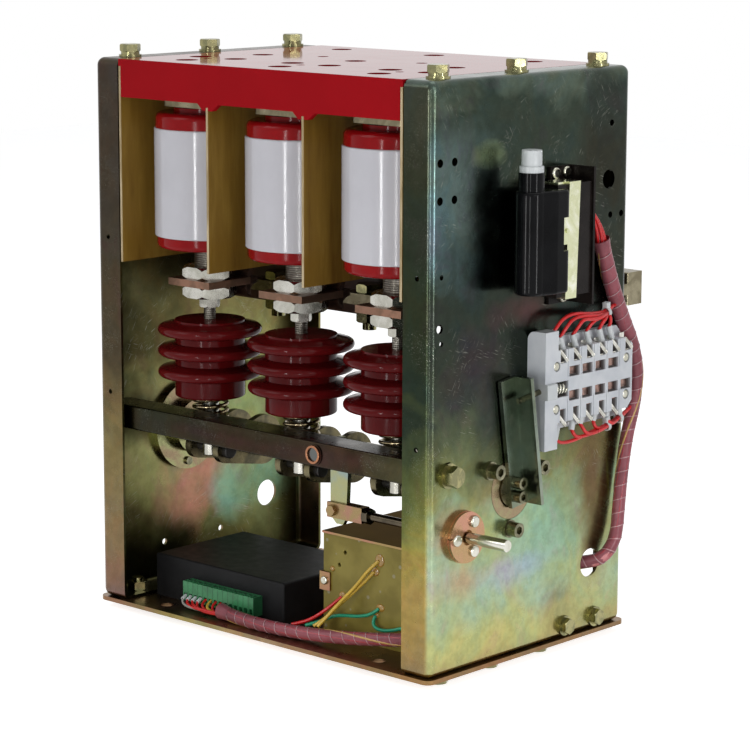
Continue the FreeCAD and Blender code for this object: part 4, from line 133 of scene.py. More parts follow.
def floor():
    """Pale floor that reads as the white background and keeps the shadow."""
    bpy.ops.mesh.primitive_plane_add(size=6.0, location=(0.0, 0.0, FLOOR_HEIGHT))
    sheet = bpy.context.object
    sheet.name = "studio_floor"
    mat, tree, shader = finish("floor_paper", (0.86, 0.86, 0.86), 0.8)
    shader.inputs["Specular IOR Level"].default_value = 0.1
    shader.inputs["Emission Color"].default_value = (1.0, 1.0, 1.0, 1.0)
    tree.links.new(joined(tree, "MULTIPLY", looking_rays(tree), FLOOR_GLOW), shader.inputs["Emission Strength"])
    sheet.data.materials.append(mat)


# Material tools

def metres(point):
    """Point in metres from millimetres."""
    return tuple(value * MM for value in point)


def shade(red, green, blue):
    """Shader colour for a colour named on the 0 to 255 scale."""
    return tuple(c / 3294.6 if c < 11 else ((c / 255.0 + 0.055) / 1.055) ** 2.4 for c in (red, green, blue))


def finish(name, colour, roughness, metallic=0.0):
    """New material with one shader, set to a plain colour."""
    mat = bpy.data.materials.new(name)
    mat.use_nodes = True
    shader = mat.node_tree.nodes["Principled BSDF"]
    shader.inputs["Base Color"].default_value = (*colour, 1.0)
    shader.inputs["Roughness"].default_value = roughness
    shader.inputs["Metallic"].default_value = metallic
    return mat, mat.node_tree, shader


def paint(tree, shader, colour, target="Base Color"):
    """Let a colour or value drive an input of the shader."""
    tree.links.new(colour, shader.inputs[target])


def place(tree, stretch=(1.0, 1.0, 1.0)):
    """Object coordinates, stretched."""
    coords = tree.nodes.new("ShaderNodeTexCoord")
    mapping = tree.nodes.new("ShaderNodeMapping")
    mapping.inputs["Scale"].default_value = stretch
    tree.links.new(coords.outputs["Object"], mapping.inputs["Vector"])
    return mapping.outputs["Vector"]


def sides_of(tree):
    """The three coordinates of a point on the object, in metres."""
    split = tree.nodes.new("ShaderNodeSeparateXYZ")
    tree.links.new(place(tree), split.inputs[0])
    return split.outputs["X"], split.outputs["Y"], split.outputs["Z"]


def facing(tree, axis, normal="True Normal"):
    """How far a face looks along an axis, from -1 to 1."""
    geometry = tree.nodes.new("ShaderNodeNewGeometry")
    split = tree.nodes.new("ShaderNodeSeparateXYZ")
    tree.links.new(geometry.outputs[normal], split.inputs[0])
    return split.outputs[axis]


def joined(tree, how, first, second=0.0):
    """One number from two, each a socket or a value."""
    node = tree.nodes.new("ShaderNodeMath")
    node.operation = how
    for index, value in enumerate((first, second)):
        if isinstance(value, (int, float)):
            node.inputs[index].default_value = value
        else:
            tree.links.new(value, node.inputs[index])
    return node.outputs[0]


def off_from(tree, value, middle):
    """Distance of a coordinate from a middle."""
    return joined(tree, "ABSOLUTE", joined(tree, "SUBTRACT", value, middle))


def span(tree, value, low, high, to_low=0.0, to_high=1.0):
    """Value mapped from one range to another, clamped."""
    node = tree.nodes.new("ShaderNodeMapRange")
    for name, number in (("From Min", low), ("From Max", high), ("To Min", to_low), ("To Max", to_high)):
        node.inputs[name].default_value = number
    tree.links.new(value, node.inputs["Value"])
    return node.outputs["Result"]


def clouds(tree, scale, detail=3.0, rough=0.5, twist=0.0, vector=None):
    """Noise factor."""
    noise = tree.nodes.new("ShaderNodeTexNoise")
    noise.inputs["Scale"].default_value = scale
    noise.inputs["Detail"].default_value = detail
    noise.inputs["Roughness"].default_value = rough
    noise.inputs["Distortion"].default_value = twist
    tree.links.new(vector or place(tree), noise.inputs["Vector"])
    return noise.outputs["Fac"]


def shades(tree, factor, stops, smooth=True):
    """Colour ramp over (position, colour) stops."""
    ramp = tree.nodes.new("ShaderNodeValToRGB")
    ramp.color_ramp.interpolation = "EASE" if smooth else "LINEAR"
    elements = ramp.color_ramp.elements
    while len(elements) < len(stops):
        elements.new(0.5)
    for element, (position, colour) in zip(elements, stops):
        element.position = position
        element.color = (*colour, 1.0)
    tree.links.new(factor, ramp.inputs["Fac"])
    return ramp.outputs["Color"]


def mottle(tree, factor, *colours, spread=0.15):
    """Clouds of two or three colours named on the 0 to 255 scale."""
    step = 2.0 * spread / (len(colours) - 1)
    return shades(tree, factor, [(0.5 - spread + step * index, shade(*colour)) for index, colour in enumerate(colours)])


def blend(tree, factor, first, second, mode="MIX"):
    """Mix of two colours; each may be a socket or a plain colour."""
    node = tree.nodes.new("ShaderNodeMix")
    node.data_type = "RGBA"
    node.blend_type = mode
    for index, value in ((0, factor), (6, first), (7, second)):
        if isinstance(value, (int, float)):
            node.inputs[index].default_value = value
        elif isinstance(value, tuple):
            node.inputs[index].default_value = (*value, 1.0)
        else:
            tree.links.new(value, node.inputs[index])
    return node.outputs[2]


def partly(tree, mask, strength):
    """Mask weakened to a strength."""
    return span(tree, mask, 0.0, 1.0, 0.0, strength)


def relief(tree, shader, height, strength, depth):
    """Bump from a height value."""
    node = tree.nodes.new("ShaderNodeBump")
    node.inputs["Strength"].default_value = strength
    node.inputs["Distance"].default_value = depth
    tree.links.new(height, node.inputs["Height"])
    tree.links.new(node.outputs["Normal"], shader.inputs["Normal"])


def patch(tree, ragged, centre, reach, soft=0.75):
    """Mask of a soft cloudy patch; centre and reach are in millimetres."""
    vector = tree.nodes.new("ShaderNodeTexCoord").outputs["Object"]
    for how, numbers in (("SUBTRACT", centre), ("DIVIDE", reach)):
        step = tree.nodes.new("ShaderNodeVectorMath")
        step.operation = how
        step.inputs[1].default_value = metres(numbers)
        tree.links.new(vector, step.inputs[0])
        vector = step.outputs[0]
    distance = tree.nodes.new("ShaderNodeVectorMath")
    distance.operation = "LENGTH"
    tree.links.new(vector, distance.inputs[0])
    return span(tree, joined(tree, "ADD", distance.outputs["Value"], ragged), 1.0 + 0.4 * soft, 1.0 - soft)


def scored(tree, turns, scale=2600.0, amount=0.745):
    """Mask of thin short scratches that run in a few directions."""
    total = 0.0
    for turn in turns:
        coords = tree.nodes.new("ShaderNodeTexCoord")
        mapping = tree.nodes.new("ShaderNodeMapping")
        mapping.inputs["Rotation"].default_value = (turn, 0.0, 0.0)
        tree.links.new(coords.outputs["Object"], mapping.inputs["Vector"])
        drawn = tree.nodes.new("ShaderNodeMapping")
        drawn.inputs["Scale"].default_value = (1.0, 1.0, 0.05)
        tree.links.new(mapping.outputs["Vector"], drawn.inputs["Vector"])
        lines = span(tree, clouds(tree, scale, 0.0, vector=drawn.outputs["Vector"]), amount, amount + 0.05)
        where = span(tree, clouds(tree, 30.0, 2.0, vector=mapping.outputs["Vector"]), 0.56, 0.66)
        total = joined(tree, "MAXIMUM", joined(tree, "MULTIPLY", lines, where), total)
    return total


def chromate(name, rise, stains_and_painted_light, gloss=0.24, metal=1.0, cloudy=0.45, drift=0.035, wear=0.4, front=None):
    """Yellow-chromated zinc: colour that changes with height, which is partly painted light; soft patches, some stained
    and some painted shade or a painted reflection; painted light by height on faces that look to the front; drifting
    tints and fine scratches.
    """
    mat, tree, shader = finish(name, rise[0][1], gloss, metal)
    lift = span(tree, clouds(tree, 13.0, 4.0, 0.55, 0.5), 0.25, 0.75, -drift, drift)
    height = span(tree, joined(tree, "ADD", sides_of(tree)[2], lift), 0.0, 0.4)

    def by_height(stops):
        return shades(tree, height, [(h / 400.0, shade(*c)) for h, c in stops], False)

    # The colour by height is partly painted light.
    film = by_height(rise)
    ragged = span(tree, clouds(tree, 26.0, 4.0, 0.55, 0.4), 0.28, 0.72, -0.5, 0.5)
    # Some patches are stained, some are painted shade, one is a painted reflection.
    for centre, reach, colour, strength in stains_and_painted_light:
        film = blend(tree, partly(tree, patch(tree, ragged, centre, reach), strength), film, shade(*colour))
    # Faces that look to the front take their own colour by height: painted light.
    if front:
        film = blend(tree, span(tree, facing(tree, "Y"), -0.75, -0.97), film, by_height(front))
    tints = shades(tree, clouds(tree, 24.0, 5.0, 0.62, 0.8, place(tree, (1.0, 1.0, 0.8))), [
        (0.34, (1.0, 0.72, 0.70)), (0.43, (1.0, 0.93, 0.62)), (0.50, (0.86, 0.96, 0.72)), (0.58, (0.72, 0.94, 0.90)),
        (0.67, (0.92, 0.78, 0.95))])
    film = blend(tree, cloudy, film, blend(tree, 1.0, film, tints, "MULTIPLY"))
    spots = shades(tree, clouds(tree, 120.0, 5.0, 0.7), [(0.35, (0.72, 0.72, 0.70)), (0.62, (1.0, 1.0, 1.0))])
    film = blend(tree, 0.6, film, spots, "MULTIPLY")
    marks = scored(tree, (0.5, 1.1, 1.9, 2.6))
    paint(tree, shader, blend(tree, partly(tree, marks, wear), film, (0.42, 0.42, 0.36)))
    paint(tree, shader, span(tree, clouds(tree, 50.0, 4.0, 0.65), 0.3, 0.75, gloss - 0.05, gloss + 0.10), "Roughness")
    relief(tree, shader, clouds(tree, 260.0), 0.05, 0.0004)
    return mat


def plated(name, colour, tint, gloss=0.28, metal=1.0, scale=120.0, grain=0.02):
    """Small plated hardware with a mottled film."""
    mat, tree, shader = finish(name, shade(*colour), gloss, metal)
    stops = [(0.32, shade(*colour)), (0.50, shade(*tint)), (0.66, shade(*colour))]
    paint(tree, shader, shades(tree, clouds(tree, scale, 4.0, 0.6, 0.4), stops))
    paint(tree, shader, span(tree, clouds(tree, 300.0), 0.3, 0.7, gloss - 0.04, gloss + 0.08), "Roughness")
    relief(tree, shader, clouds(tree, 500.0, 2.0), grain, 0.0003)
    return mat


def moulded(name, colour, gloss, grain=0.03, variation=0.10, coat=0.0, specular=0.5):
    """Moulded plastic or enamel with slight clouding and a fine skin."""
    base = shade(*colour)
    mat, tree, shader = finish(name, base, gloss)
    darker = tuple(c * (1.0 - variation) for c in base)
    lighter = tuple(min(1.0, c * (1.0 + variation) + 0.002) for c in base)
    paint(tree, shader, shades(tree, clouds(tree, 28.0, 4.0, 0.6), [(0.35, darker), (0.65, lighter)]))
    paint(tree, shader, span(tree, clouds(tree, 140.0), 0.3, 0.7, gloss - 0.04, gloss + 0.06), "Roughness")
    shader.inputs["Specular IOR Level"].default_value = specular
    shader.inputs["Coat Weight"].default_value = coat
    shader.inputs["Coat Roughness"].default_value = 0.06
    relief(tree, shader, clouds(tree, 1100.0, 2.0), grain, 0.0004)
    return mat


# The zinc of the frame

def side_stains_and_painted_light(x, rows):
    """Patches of an upright plate, some stained and some painted light, from rows of y, z, reach along y and z, colour
    and strength.
    """
    return [((x, y, z), (60, wide, high), colour, strength) for y, z, wide, high, colour, strength in rows]


# On the right plate the colour by height is painted reflection: dark high up, bright low down.
side_zinc = chromate("side_zinc", [
    (8, (160, 150, 108)), (34, (166, 170, 126)), (62, (154, 174, 158)), (96, (144, 164, 136)), (122, (124, 124, 84)),
    (146, (90, 94, 68)), (172, (58, 62, 54)), (232, (44, 52, 48)), (310, (54, 62, 56)), (372, (52, 62, 56)),
    (390, (84, 94, 86))],
    side_stains_and_painted_light(161, [
     (-82, 318, 40, 44, (90, 108, 112), 0.85),
     (84, 322, 34, 80, (46, 44, 36), 0.85),
     (-58, 203, 30, 22, (54, 42, 54), 0.7),
     (-6, 236, 34, 12, (86, 56, 60), 0.6),
     (12, 92, 44, 26, (140, 170, 146), 0.6),
     (-55, 86, 32, 26, (168, 162, 100), 0.75),
     (-30, 118, 26, 14, (150, 124, 92), 0.5),
     (-18, 62, 36, 10, (156, 164, 182), 0.75),
     (40, 52, 34, 14, (160, 162, 104), 0.6),
     (66, 138, 28, 52, (104, 90, 60), 0.8),
     (84, 80, 24, 34, (146, 138, 80), 0.7),
     (67, 106, 10, 46, (96, 78, 54), 0.8),
     (-84, 100, 22, 16, (164, 130, 112), 0.6),
     (-70, 64, 26, 12, (174, 140, 126), 0.6),
     (28, 32, 16, 15, (112, 102, 84), 0.55),
     (-40, 20, 70, 14, (186, 178, 118), 0.6),
     # Pale patch below the top edge: painted reflection of the release cap.
     (-46, 342, 16, 8, (142, 152, 112), 0.55)]),
    # The front ramp is painted light on the faces that look to the front.
    0.22, front=[
    (4, (132, 116, 90)), (40, (156, 128, 78)), (85, (140, 130, 70)), (130, (92, 96, 56)), (180, (38, 46, 38)),
    (250, (42, 48, 36)), (330, (48, 52, 42)), (385, (62, 64, 56))])
# On the inner face of the left plate the colour by height is partly painted shade: darker towards the bottom and the
# top.
left_zinc = chromate("left_zinc", [
    (4, (76, 70, 42)), (45, (92, 90, 54)), (75, (128, 130, 88)), (130, (138, 140, 98)), (190, (120, 114, 76)),
    (240, (104, 94, 62)), (290, (84, 74, 50)), (385, (66, 56, 46))],
    side_stains_and_painted_light(-161, [
     (-10, 76, 36, 30, (176, 124, 114), 0.9),
     (24, 62, 16, 26, (120, 160, 140), 0.8),
     (-50, 132, 30, 22, (148, 124, 102), 0.5),
     (70, 70, 36, 20, (112, 150, 128), 0.6),
     (40, 150, 30, 40, (144, 160, 106), 0.6),
     # The next two dark patches are painted shade on the inner face near the front.
     (-104, 160, 34, 180, (62, 60, 32), 0.85),
     (-62, 190, 44, 60, (62, 58, 36), 0.8),
     (90, 200, 30, 30, (150, 140, 90), 0.5)]),
    # The front ramp is painted light on the faces that look to the front.
    0.30, front=[
    (4, (120, 92, 82)), (60, (124, 102, 76)), (120, (120, 104, 70)), (190, (70, 60, 46)), (300, (64, 54, 45)),
    (385, (64, 54, 50))])
base_zinc = chromate("base_zinc", [(0, (140, 108, 80)), (60, (140, 108, 80))],
    [((-60, -105, 0), (70, 14, 30), (150, 140, 88), 0.8),
     ((0, -60, 0), (90, 50, 30), (176, 138, 120), 0.8),
     ((110, -112, 0), (60, 18, 30), (150, 118, 76), 0.7),
     ((-120, -40, 0), (50, 70, 30), (56, 44, 26), 0.7)], 0.30)
lever_zinc = chromate("lever_zinc", [(100, (134, 140, 124)), (160, (132, 142, 134)), (215, (128, 132, 112))],
    [((172, -24, 150), (20, 10, 60), (78, 88, 72), 0.7),
     ((172, -8, 186), (20, 8, 20), (132, 134, 98), 0.6)], 0.20, 1.0, 0.2, 0.02, 0.9)
beam_bronze = chromate("beam_bronze", [
    (127, (46, 44, 30)), (132, (48, 38, 30)), (137, (52, 36, 34)), (142, (42, 36, 26)), (146, (46, 43, 32))],
    [((-110, -98, 137), (40, 20, 20), (44, 44, 32), 0.7),
     ((-20, -98, 137), (40, 20, 20), (54, 42, 34), 0.6),
     ((60, -98, 137), (40, 20, 20), (70, 50, 44), 0.6),
     ((130, -98, 134), (30, 20, 12), (78, 72, 50), 0.7)], 0.26, 1.0, 0.5, 0.004)

# Small plated pieces

guide_rose = plated("guide_rose", (182, 132, 112), (168, 138, 100), 0.24, 1.0, 26.0)
bearing_zinc = plated("bearing_zinc", (150, 152, 108), (142, 124, 98), 0.24, 1.0, 30.0)
pink_zinc = plated("pink_zinc", (150, 114, 94), (142, 122, 86), 0.28, 1.0, 40.0)
bolt_zinc = plated("bolt_zinc", (156, 150, 108), (124, 122, 90), 0.18, 1.0, 90.0)
socket_zinc = plated("socket_zinc", (146, 142, 118), (104, 102, 82), 0.16, 1.0, 90.0)
nut_zinc = plated("nut_zinc", (186, 184, 176), (164, 162, 152), 0.22, 1.0, 45.0)
bright_steel = plated("bright_steel", (204, 202, 192), (178, 176, 160), 0.14, 1.0, 60.0)
dark_steel = plated("dark_steel", (84, 80, 64), (112, 104, 78), 0.28, 1.0, 40.0)
spring_wire = plated("spring_wire", (176, 160, 130), (120, 108, 82), 0.18)
leaf_copper = plated("leaf_copper", (58, 42, 36), (78, 56, 44), 0.42, 0.8)
terminal_tin = plated("terminal_tin", (146, 138, 114), (118, 110, 88), 0.30, 1.0, 50.0)
strap_zinc = plated("strap_zinc", (240, 240, 224), (206, 208, 170), 0.16, 1.0, 34.0)

# Mouldings, enamel and paint, and the pieces with more than one finish

def glazed_board(name, colour):
    """Red moulded board: glossy on top, dull on its upright faces."""
    base = shade(*colour)
    mat, tree, shader = finish(name, base, 0.2)
    darker = tuple(c * 0.94 for c in base)
    paint(tree, shader, shades(tree, clouds(tree, 22.0, 4.0, 0.6), [(0.35, darker), (0.65, base)]))
    paint(tree, shader, span(tree, facing(tree, "Z"), 0.6, 0.9, 0.03, 0.06), "Specular IOR Level")
    paint(tree, shader, span(tree, clouds(tree, 40.0), 0.3, 0.7, 0.05, 0.10), "Roughness")
    relief(tree, shader, clouds(tree, 30.0, 2.0), 0.02, 0.0005)
    return mat


red_moulding = glazed_board("red_moulding", (158, 15, 24))
cap_enamel = moulded("cap_enamel", (138, 11, 16), 0.12, 0.02, 0.08, 0.0, 0.10)
ceramic = moulded("ceramic", (196, 195, 201), 0.12, 0.01, 0.02, 0.0, 0.35)
maroon_resin = moulded("maroon_resin", (90, 12, 14), 0.12, 0.02, 0.12, 0.0, 0.08)
black_shell = moulded("black_shell", (8, 8, 10), 0.12, 0.01, 0.2, 0.0, 0.08)
bracket_black = moulded("bracket_black", (24, 19, 17), 0.24, 0.03, 0.3, 0.0, 0.10)
black_paint = moulded("black_paint", (26, 24, 22), 0.40, 0.08, 0.2, 0.0, 0.35)
box_paint = moulded("box_paint", (20, 20, 21), 0.5, 0.22, 0.2, 0.0, 0.14)
nylon = moulded("nylon", (198, 202, 203), 0.42, 0.03, 0.03)
phenolic = moulded("phenolic", (60, 34, 22), 0.40, 0.06, 0.25)


def laminate(name):
    """Paper laminate sheet: brown faces, pale sawn front and rear edges."""
    mat, tree, shader = finish(name, shade(120, 92, 34), 0.42)
    shader.inputs["Specular IOR Level"].default_value = 0.2
    grain = clouds(tree, 55.0, 5.0, 0.65, vector=place(tree, (1.0, 1.0, 0.12)))
    face = mottle(tree, grain, (104, 74, 24), (124, 94, 34), (138, 108, 44), spread=0.16)
    sawn = clouds(tree, 200.0, vector=place(tree, (1.0, 1.0, 0.2)))
    turned = joined(tree, "ABSOLUTE", facing(tree, "Y", "Normal"))
    edge = mottle(tree, sawn, (160, 140, 104), (196, 178, 144))
    paint(tree, shader, blend(tree, span(tree, turned, 0.7, 0.9), face, edge))
    relief(tree, shader, clouds(tree, 700.0, vector=place(tree, (1.0, 1.0, 0.3))), 0.12, 0.0004)
    return mat


def circuit_sheet(name):
    """Olive-yellow circuit board with faint tracks and solder spots."""
    mat, tree, shader = finish(name, shade(138, 126, 60), 0.36)
    shader.inputs["Specular IOR Level"].default_value = 0.2
    spots = tree.nodes.new("ShaderNodeTexVoronoi")
    spots.inputs["Scale"].default_value = 95.0
    tree.links.new(place(tree), spots.inputs["Vector"])
    dot = span(tree, spots.outputs["Distance"], 0.11, 0.15, 1.0, 0.0)
    tone = mottle(tree, clouds(tree, 45.0, 4.0), (122, 110, 48), (142, 130, 64))
    paint(tree, shader, blend(tree, partly(tree, dot, 0.35), tone, (0.42, 0.42, 0.36)))
    relief(tree, shader, dot, 0.2, 0.0005)
    return mat


def bundle_wrap(name):
    """Pink inner wrap of the wire bundle, under the spiral film."""
    mat, tree, shader = finish(name, (0.62, 0.24, 0.26), 0.22)
    tone = shades(tree, clouds(tree, 150.0, 3.0, 0.6), [(0.35, (0.40, 0.075, 0.085)), (0.65, (0.62, 0.24, 0.25))])
    paint(tree, shader, tone)
    shader.inputs["Specular IOR Level"].default_value = 0.3
    relief(tree, shader, clouds(tree, 500.0), 0.2, 0.0005)
    return mat


def switch_moulding(name):
    """Pale switch body whose niches and windows are painted darker grey inside: painted shade."""
    mat, tree, shader = finish(name, shade(200, 203, 208), 0.34)
    across, along, up = sides_of(tree)
    # Mask of the insides of the niches and windows, which take painted shade.
    inside = joined(tree, "MULTIPLY", span(tree, across, 0.1730, 0.1712), span(tree, along, 0.0090, 0.0094))
    inside = joined(tree, "MULTIPLY", inside, span(tree, off_from(tree, up, SWITCH_MIDDLE), 0.0262, 0.0252))
    tone = mottle(tree, clouds(tree, 60.0), (192, 196, 202), (204, 207, 211))
    paint(tree, shader, blend(tree, inside, tone, shade(112, 106, 104)))
    relief(tree, shader, clouds(tree, 900.0, 2.0), 0.02, 0.0004)
    return mat


def contact_metal(name):
    """Bright tinned blades; the contacts behind the windows are brown and dull."""
    mat, tree, shader = finish(name, shade(200, 198, 190), 0.2, 1.0)
    window = span(tree, off_from(tree, sides_of(tree)[2], SWITCH_MIDDLE), 0.0165, 0.0155)
    tin = mottle(tree, clouds(tree, 150.0), (176, 174, 164), (216, 214, 206))
    brown = mottle(tree, clouds(tree, 190.0), (98, 80, 74), (150, 122, 112))
    paint(tree, shader, blend(tree, window, tin, brown))
    relief(tree, shader, clouds(tree, 500.0, 2.0), 0.03, 0.0003)
    return mat


def connector_green(name):
    """Green moulding with a groove between its ways and a screw well on top of each; groove and wells are darkened with
    painted shade.
    """
    mat, tree, shader = finish(name, shade(50, 122, 76), 0.4)
    across, along, up = sides_of(tree)
    way = joined(tree, "FRACT", joined(tree, "DIVIDE", joined(tree, "ADD", across, 0.0930), WAY_PITCH))
    off = off_from(tree, way, 0.5)
    groove = span(tree, off, 0.44, 0.47)
    well = joined(tree, "MULTIPLY", span(tree, off, 0.30, 0.26), span(tree, up, 0.0211, 0.0213))
    well = joined(tree, "MULTIPLY", well, span(tree, off_from(tree, along, -0.0795), 0.0022, 0.0019))
    tone = mottle(tree, clouds(tree, 90.0), (46, 112, 70), (56, 132, 84))
    # Groove and screw wells darkened: painted shade.
    tone = blend(tree, partly(tree, groove, 0.7), tone, shade(20, 56, 34))
    paint(tree, shader, blend(tree, well, tone, shade(18, 46, 30)))
    relief(tree, shader, joined(tree, "SUBTRACT", 1.0, groove), 0.5, 0.0005)
    return mat


def lever_boss(name):
    """Trip lever: plated arm with a dull grey pin end at the front."""
    mat, tree, shader = finish(name, shade(160, 150, 120), 0.26, 1.0)
    arm = mottle(tree, clouds(tree, 34.0), (160, 132, 116), (150, 150, 110), (132, 146, 140))
    paint(tree, shader, blend(tree, span(tree, sides_of(tree)[1], -0.0955, -0.0960), arm, shade(92, 94, 92)))
    relief(tree, shader, clouds(tree, 400.0, 2.0), 0.03, 0.0003)
    return mat


def rod_metal(name):
    """Trip rod: dark inside the frame, which is painted shade, and bright where it comes through the side."""
    mat, tree, shader = finish(name, shade(204, 202, 192), 0.16, 1.0)
    film = clouds(tree, 60.0, 4.0, 0.6)
    dark = mottle(tree, film, (66, 60, 50), (88, 80, 66))
    bright = mottle(tree, film, (204, 202, 192), (178, 176, 160))
    # Darker inside the frame: painted shade.
    paint(tree, shader, blend(tree, span(tree, sides_of(tree)[0], 0.150, 0.156), dark, bright))
    relief(tree, shader, clouds(tree, 500.0, 2.0), 0.03, 0.0003)
    return mat


def magnet_film(name):
    """Magnet frame: pinkish film on its sides, darker on its top plate."""
    mat, tree, shader = finish(name, shade(150, 114, 94), 0.30, 1.0)
    edge = mottle(tree, clouds(tree, 40.0), (158, 114, 94), (146, 124, 84))
    top = mottle(tree, clouds(tree, 30.0), (32, 28, 22), (52, 44, 32))
    paint(tree, shader, blend(tree, span(tree, facing(tree, "Z"), 0.7, 0.9), edge, top))
    shader.inputs["Specular Tint"].default_value = (0.46, 0.41, 0.33, 1.0)
    relief(tree, shader, clouds(tree, 300.0, 2.0), 0.03, 0.0003)
    return mat


def stem_metal(name):
    """Contact stem: steel rod with a fine thread, and the copper pad between its nuts."""
    mat, tree, shader = finish(name, shade(132, 98, 80), 0.34, 0.9)
    up = sides_of(tree)[2]
    rod = span(tree, off_from(tree, up, 0.2360), 0.00255, 0.00270)
    film = clouds(tree, 60.0, 4.0, 0.6, 0.4)
    pad = shades(tree, film, [
        (0.32, shade(126, 94, 78)), (0.50, shade(110, 84, 68)), (0.66, shade(134, 100, 82))])
    steel = shades(tree, film, [
        (0.32, shade(150, 146, 136)), (0.50, shade(128, 124, 114)), (0.66, shade(166, 162, 152))])
    thread_roots = off_from(tree, joined(tree, "FRACT", joined(tree, "DIVIDE", up, THREAD_PITCH)), 0.5)
    thread_roots = span(tree, thread_roots, 0.10, 0.42)
    # The roots of the thread are darkened: painted shade.
    steel = blend(tree, partly(tree, thread_roots, 0.6), steel, shade(58, 54, 48))
    paint(tree, shader, blend(tree, rod, pad, steel))
    relief(tree, shader, joined(tree, "MULTIPLY", joined(tree, "SUBTRACT", 1.0, thread_roots), rod), 0.6, 0.0006)
    return mat


barrier_laminate = laminate("barrier_laminate")
stem_thread = stem_metal("stem_thread")
switch_pale = switch_moulding("switch_pale")
contact_tin = contact_metal("contact_tin")
plug_green = connector_green("plug_green")
trip_lever_film = lever_boss("trip_lever_film")
magnet_zinc = magnet_film("magnet_zinc")
rod_steel = rod_metal("rod_steel")
board_olive = circuit_sheet("board_olive")
wrap_pink = bundle_wrap("wrap_pink")
film_pink = moulded("film_pink", (140, 78, 86), 0.26, 0.06, 0.22, 0.0, 0.2)
seam_white = moulded("seam_white", (186, 150, 154), 0.2, 0.03, 0.06, 0.0, 0.4)
streak_yellow = moulded("streak_yellow", (190, 150, 84), 0.24, 0.03, 0.08)
streak_red = moulded("streak_red", (158, 52, 62), 0.24, 0.03, 0.12)
bush_copper = plated("bush_copper", (176, 118, 84), (150, 104, 78), 0.26, 1.0, 80.0)
amber_resin = moulded("amber_resin", (168, 128, 52), 0.14, 0.05, 0.12, 0.4)
wire_red = moulded("wire_red", (204, 20, 24), 0.30, 0.03, 0.12)
wire_yellow = moulded("wire_yellow", (208, 172, 60), 0.32, 0.03, 0.1)
wire_green = moulded("wire_green", (18, 146, 108), 0.32, 0.03, 0.1)
wire_grey = moulded("wire_grey", (148, 146, 140), 0.34, 0.03, 0.1)
coil_tape = moulded("coil_tape", (96, 64, 38), 0.40, 0.2, 0.3)

LOOKS = {
    "base_plate": base_zinc, "left_side_plate": left_zinc, "right_side_plate": side_zinc, "top_board": red_moulding,
    "top_board_rear": red_moulding,
    "phase_barriers": barrier_laminate, "cross_beam": beam_bronze, "rear_board": phenolic, "hex_bolts": bolt_zinc,
    "socket_screws": socket_zinc, "pan_screws": bright_steel, "bottle_caps": cap_enamel,
    "upper_terminals": terminal_tin, "lower_terminals": terminal_tin, "main_shaft": dark_steel,
    "crank_pins": black_paint, "shaft_bearings": bearing_zinc, "shaft_lever": lever_zinc, "lever_screws": socket_zinc,
    "aux_switch_body": switch_pale, "aux_slider": nylon, "aux_spring": bright_steel, "aux_contacts": contact_tin,
    "release_housing": black_shell, "release_bracket": bracket_black, "release_strap": strap_zinc,
    "release_cap": nylon, "trip_rod": rod_steel, "trip_guide": guide_rose, "trip_lever": trip_lever_film,
    "trip_clevis": pink_zinc, "control_box": box_paint, "terminal_block": plug_green, "magnet_frame": magnet_zinc,
    "magnet_coil": coil_tape, "magnet_plunger": bright_steel, "circuit_board": board_olive, "harness": wrap_pink,
    "leads": wire_yellow,
}
for pole in "123":
    for stem, mat in (("vacuum_bottle_", ceramic), ("flexible_link_", leaf_copper), ("contact_stem_", stem_thread),
                      ("stem_nuts_", nut_zinc), ("insulator_", maroon_resin), ("pull_rod_", nut_zinc),
                      ("contact_spring_", spring_wire)):
        LOOKS[stem + pole] = mat


def dress(obj, *materials):
    """Give an object its materials, first slot first."""
    for index, mat in enumerate(materials):
        if index < len(obj.material_slots):
            obj.material_slots[index].link = "DATA"
            obj.material_slots[index].material = mat
        else:
            obj.data.materials.append(mat)


for node_name, mat in LOOKS.items():
    part = NODES[node_name]
    if not part.material_slots:
        part.data.materials.append(mat)
    for slot in part.material_slots:
        slot.material = mat


# Cords

def run_of(name, points, radius, mat):
    """Round cord along control points given in millimetres."""
    curve = bpy.data.curves.new(name, "CURVE")
    curve.dimensions = "3D"
    curve.resolution_u = 6
    curve.bevel_depth = radius * MM
    curve.bevel_resolution = 3
    curve.use_fill_caps = True
    spline = curve.splines.new("NURBS")
    spline.points.add(len(points) - 1)
    for target, point in zip(spline.points, points):
        target.co = (point[0] * MM, point[1] * MM, point[2] * MM, 1.0)
    spline.order_u = 3
    spline.use_endpoint_u = True
    obj = bpy.data.objects.new(name, curve)
    bpy.context.scene.collection.objects.link(obj)
    curve.materials.append(mat)
    return obj


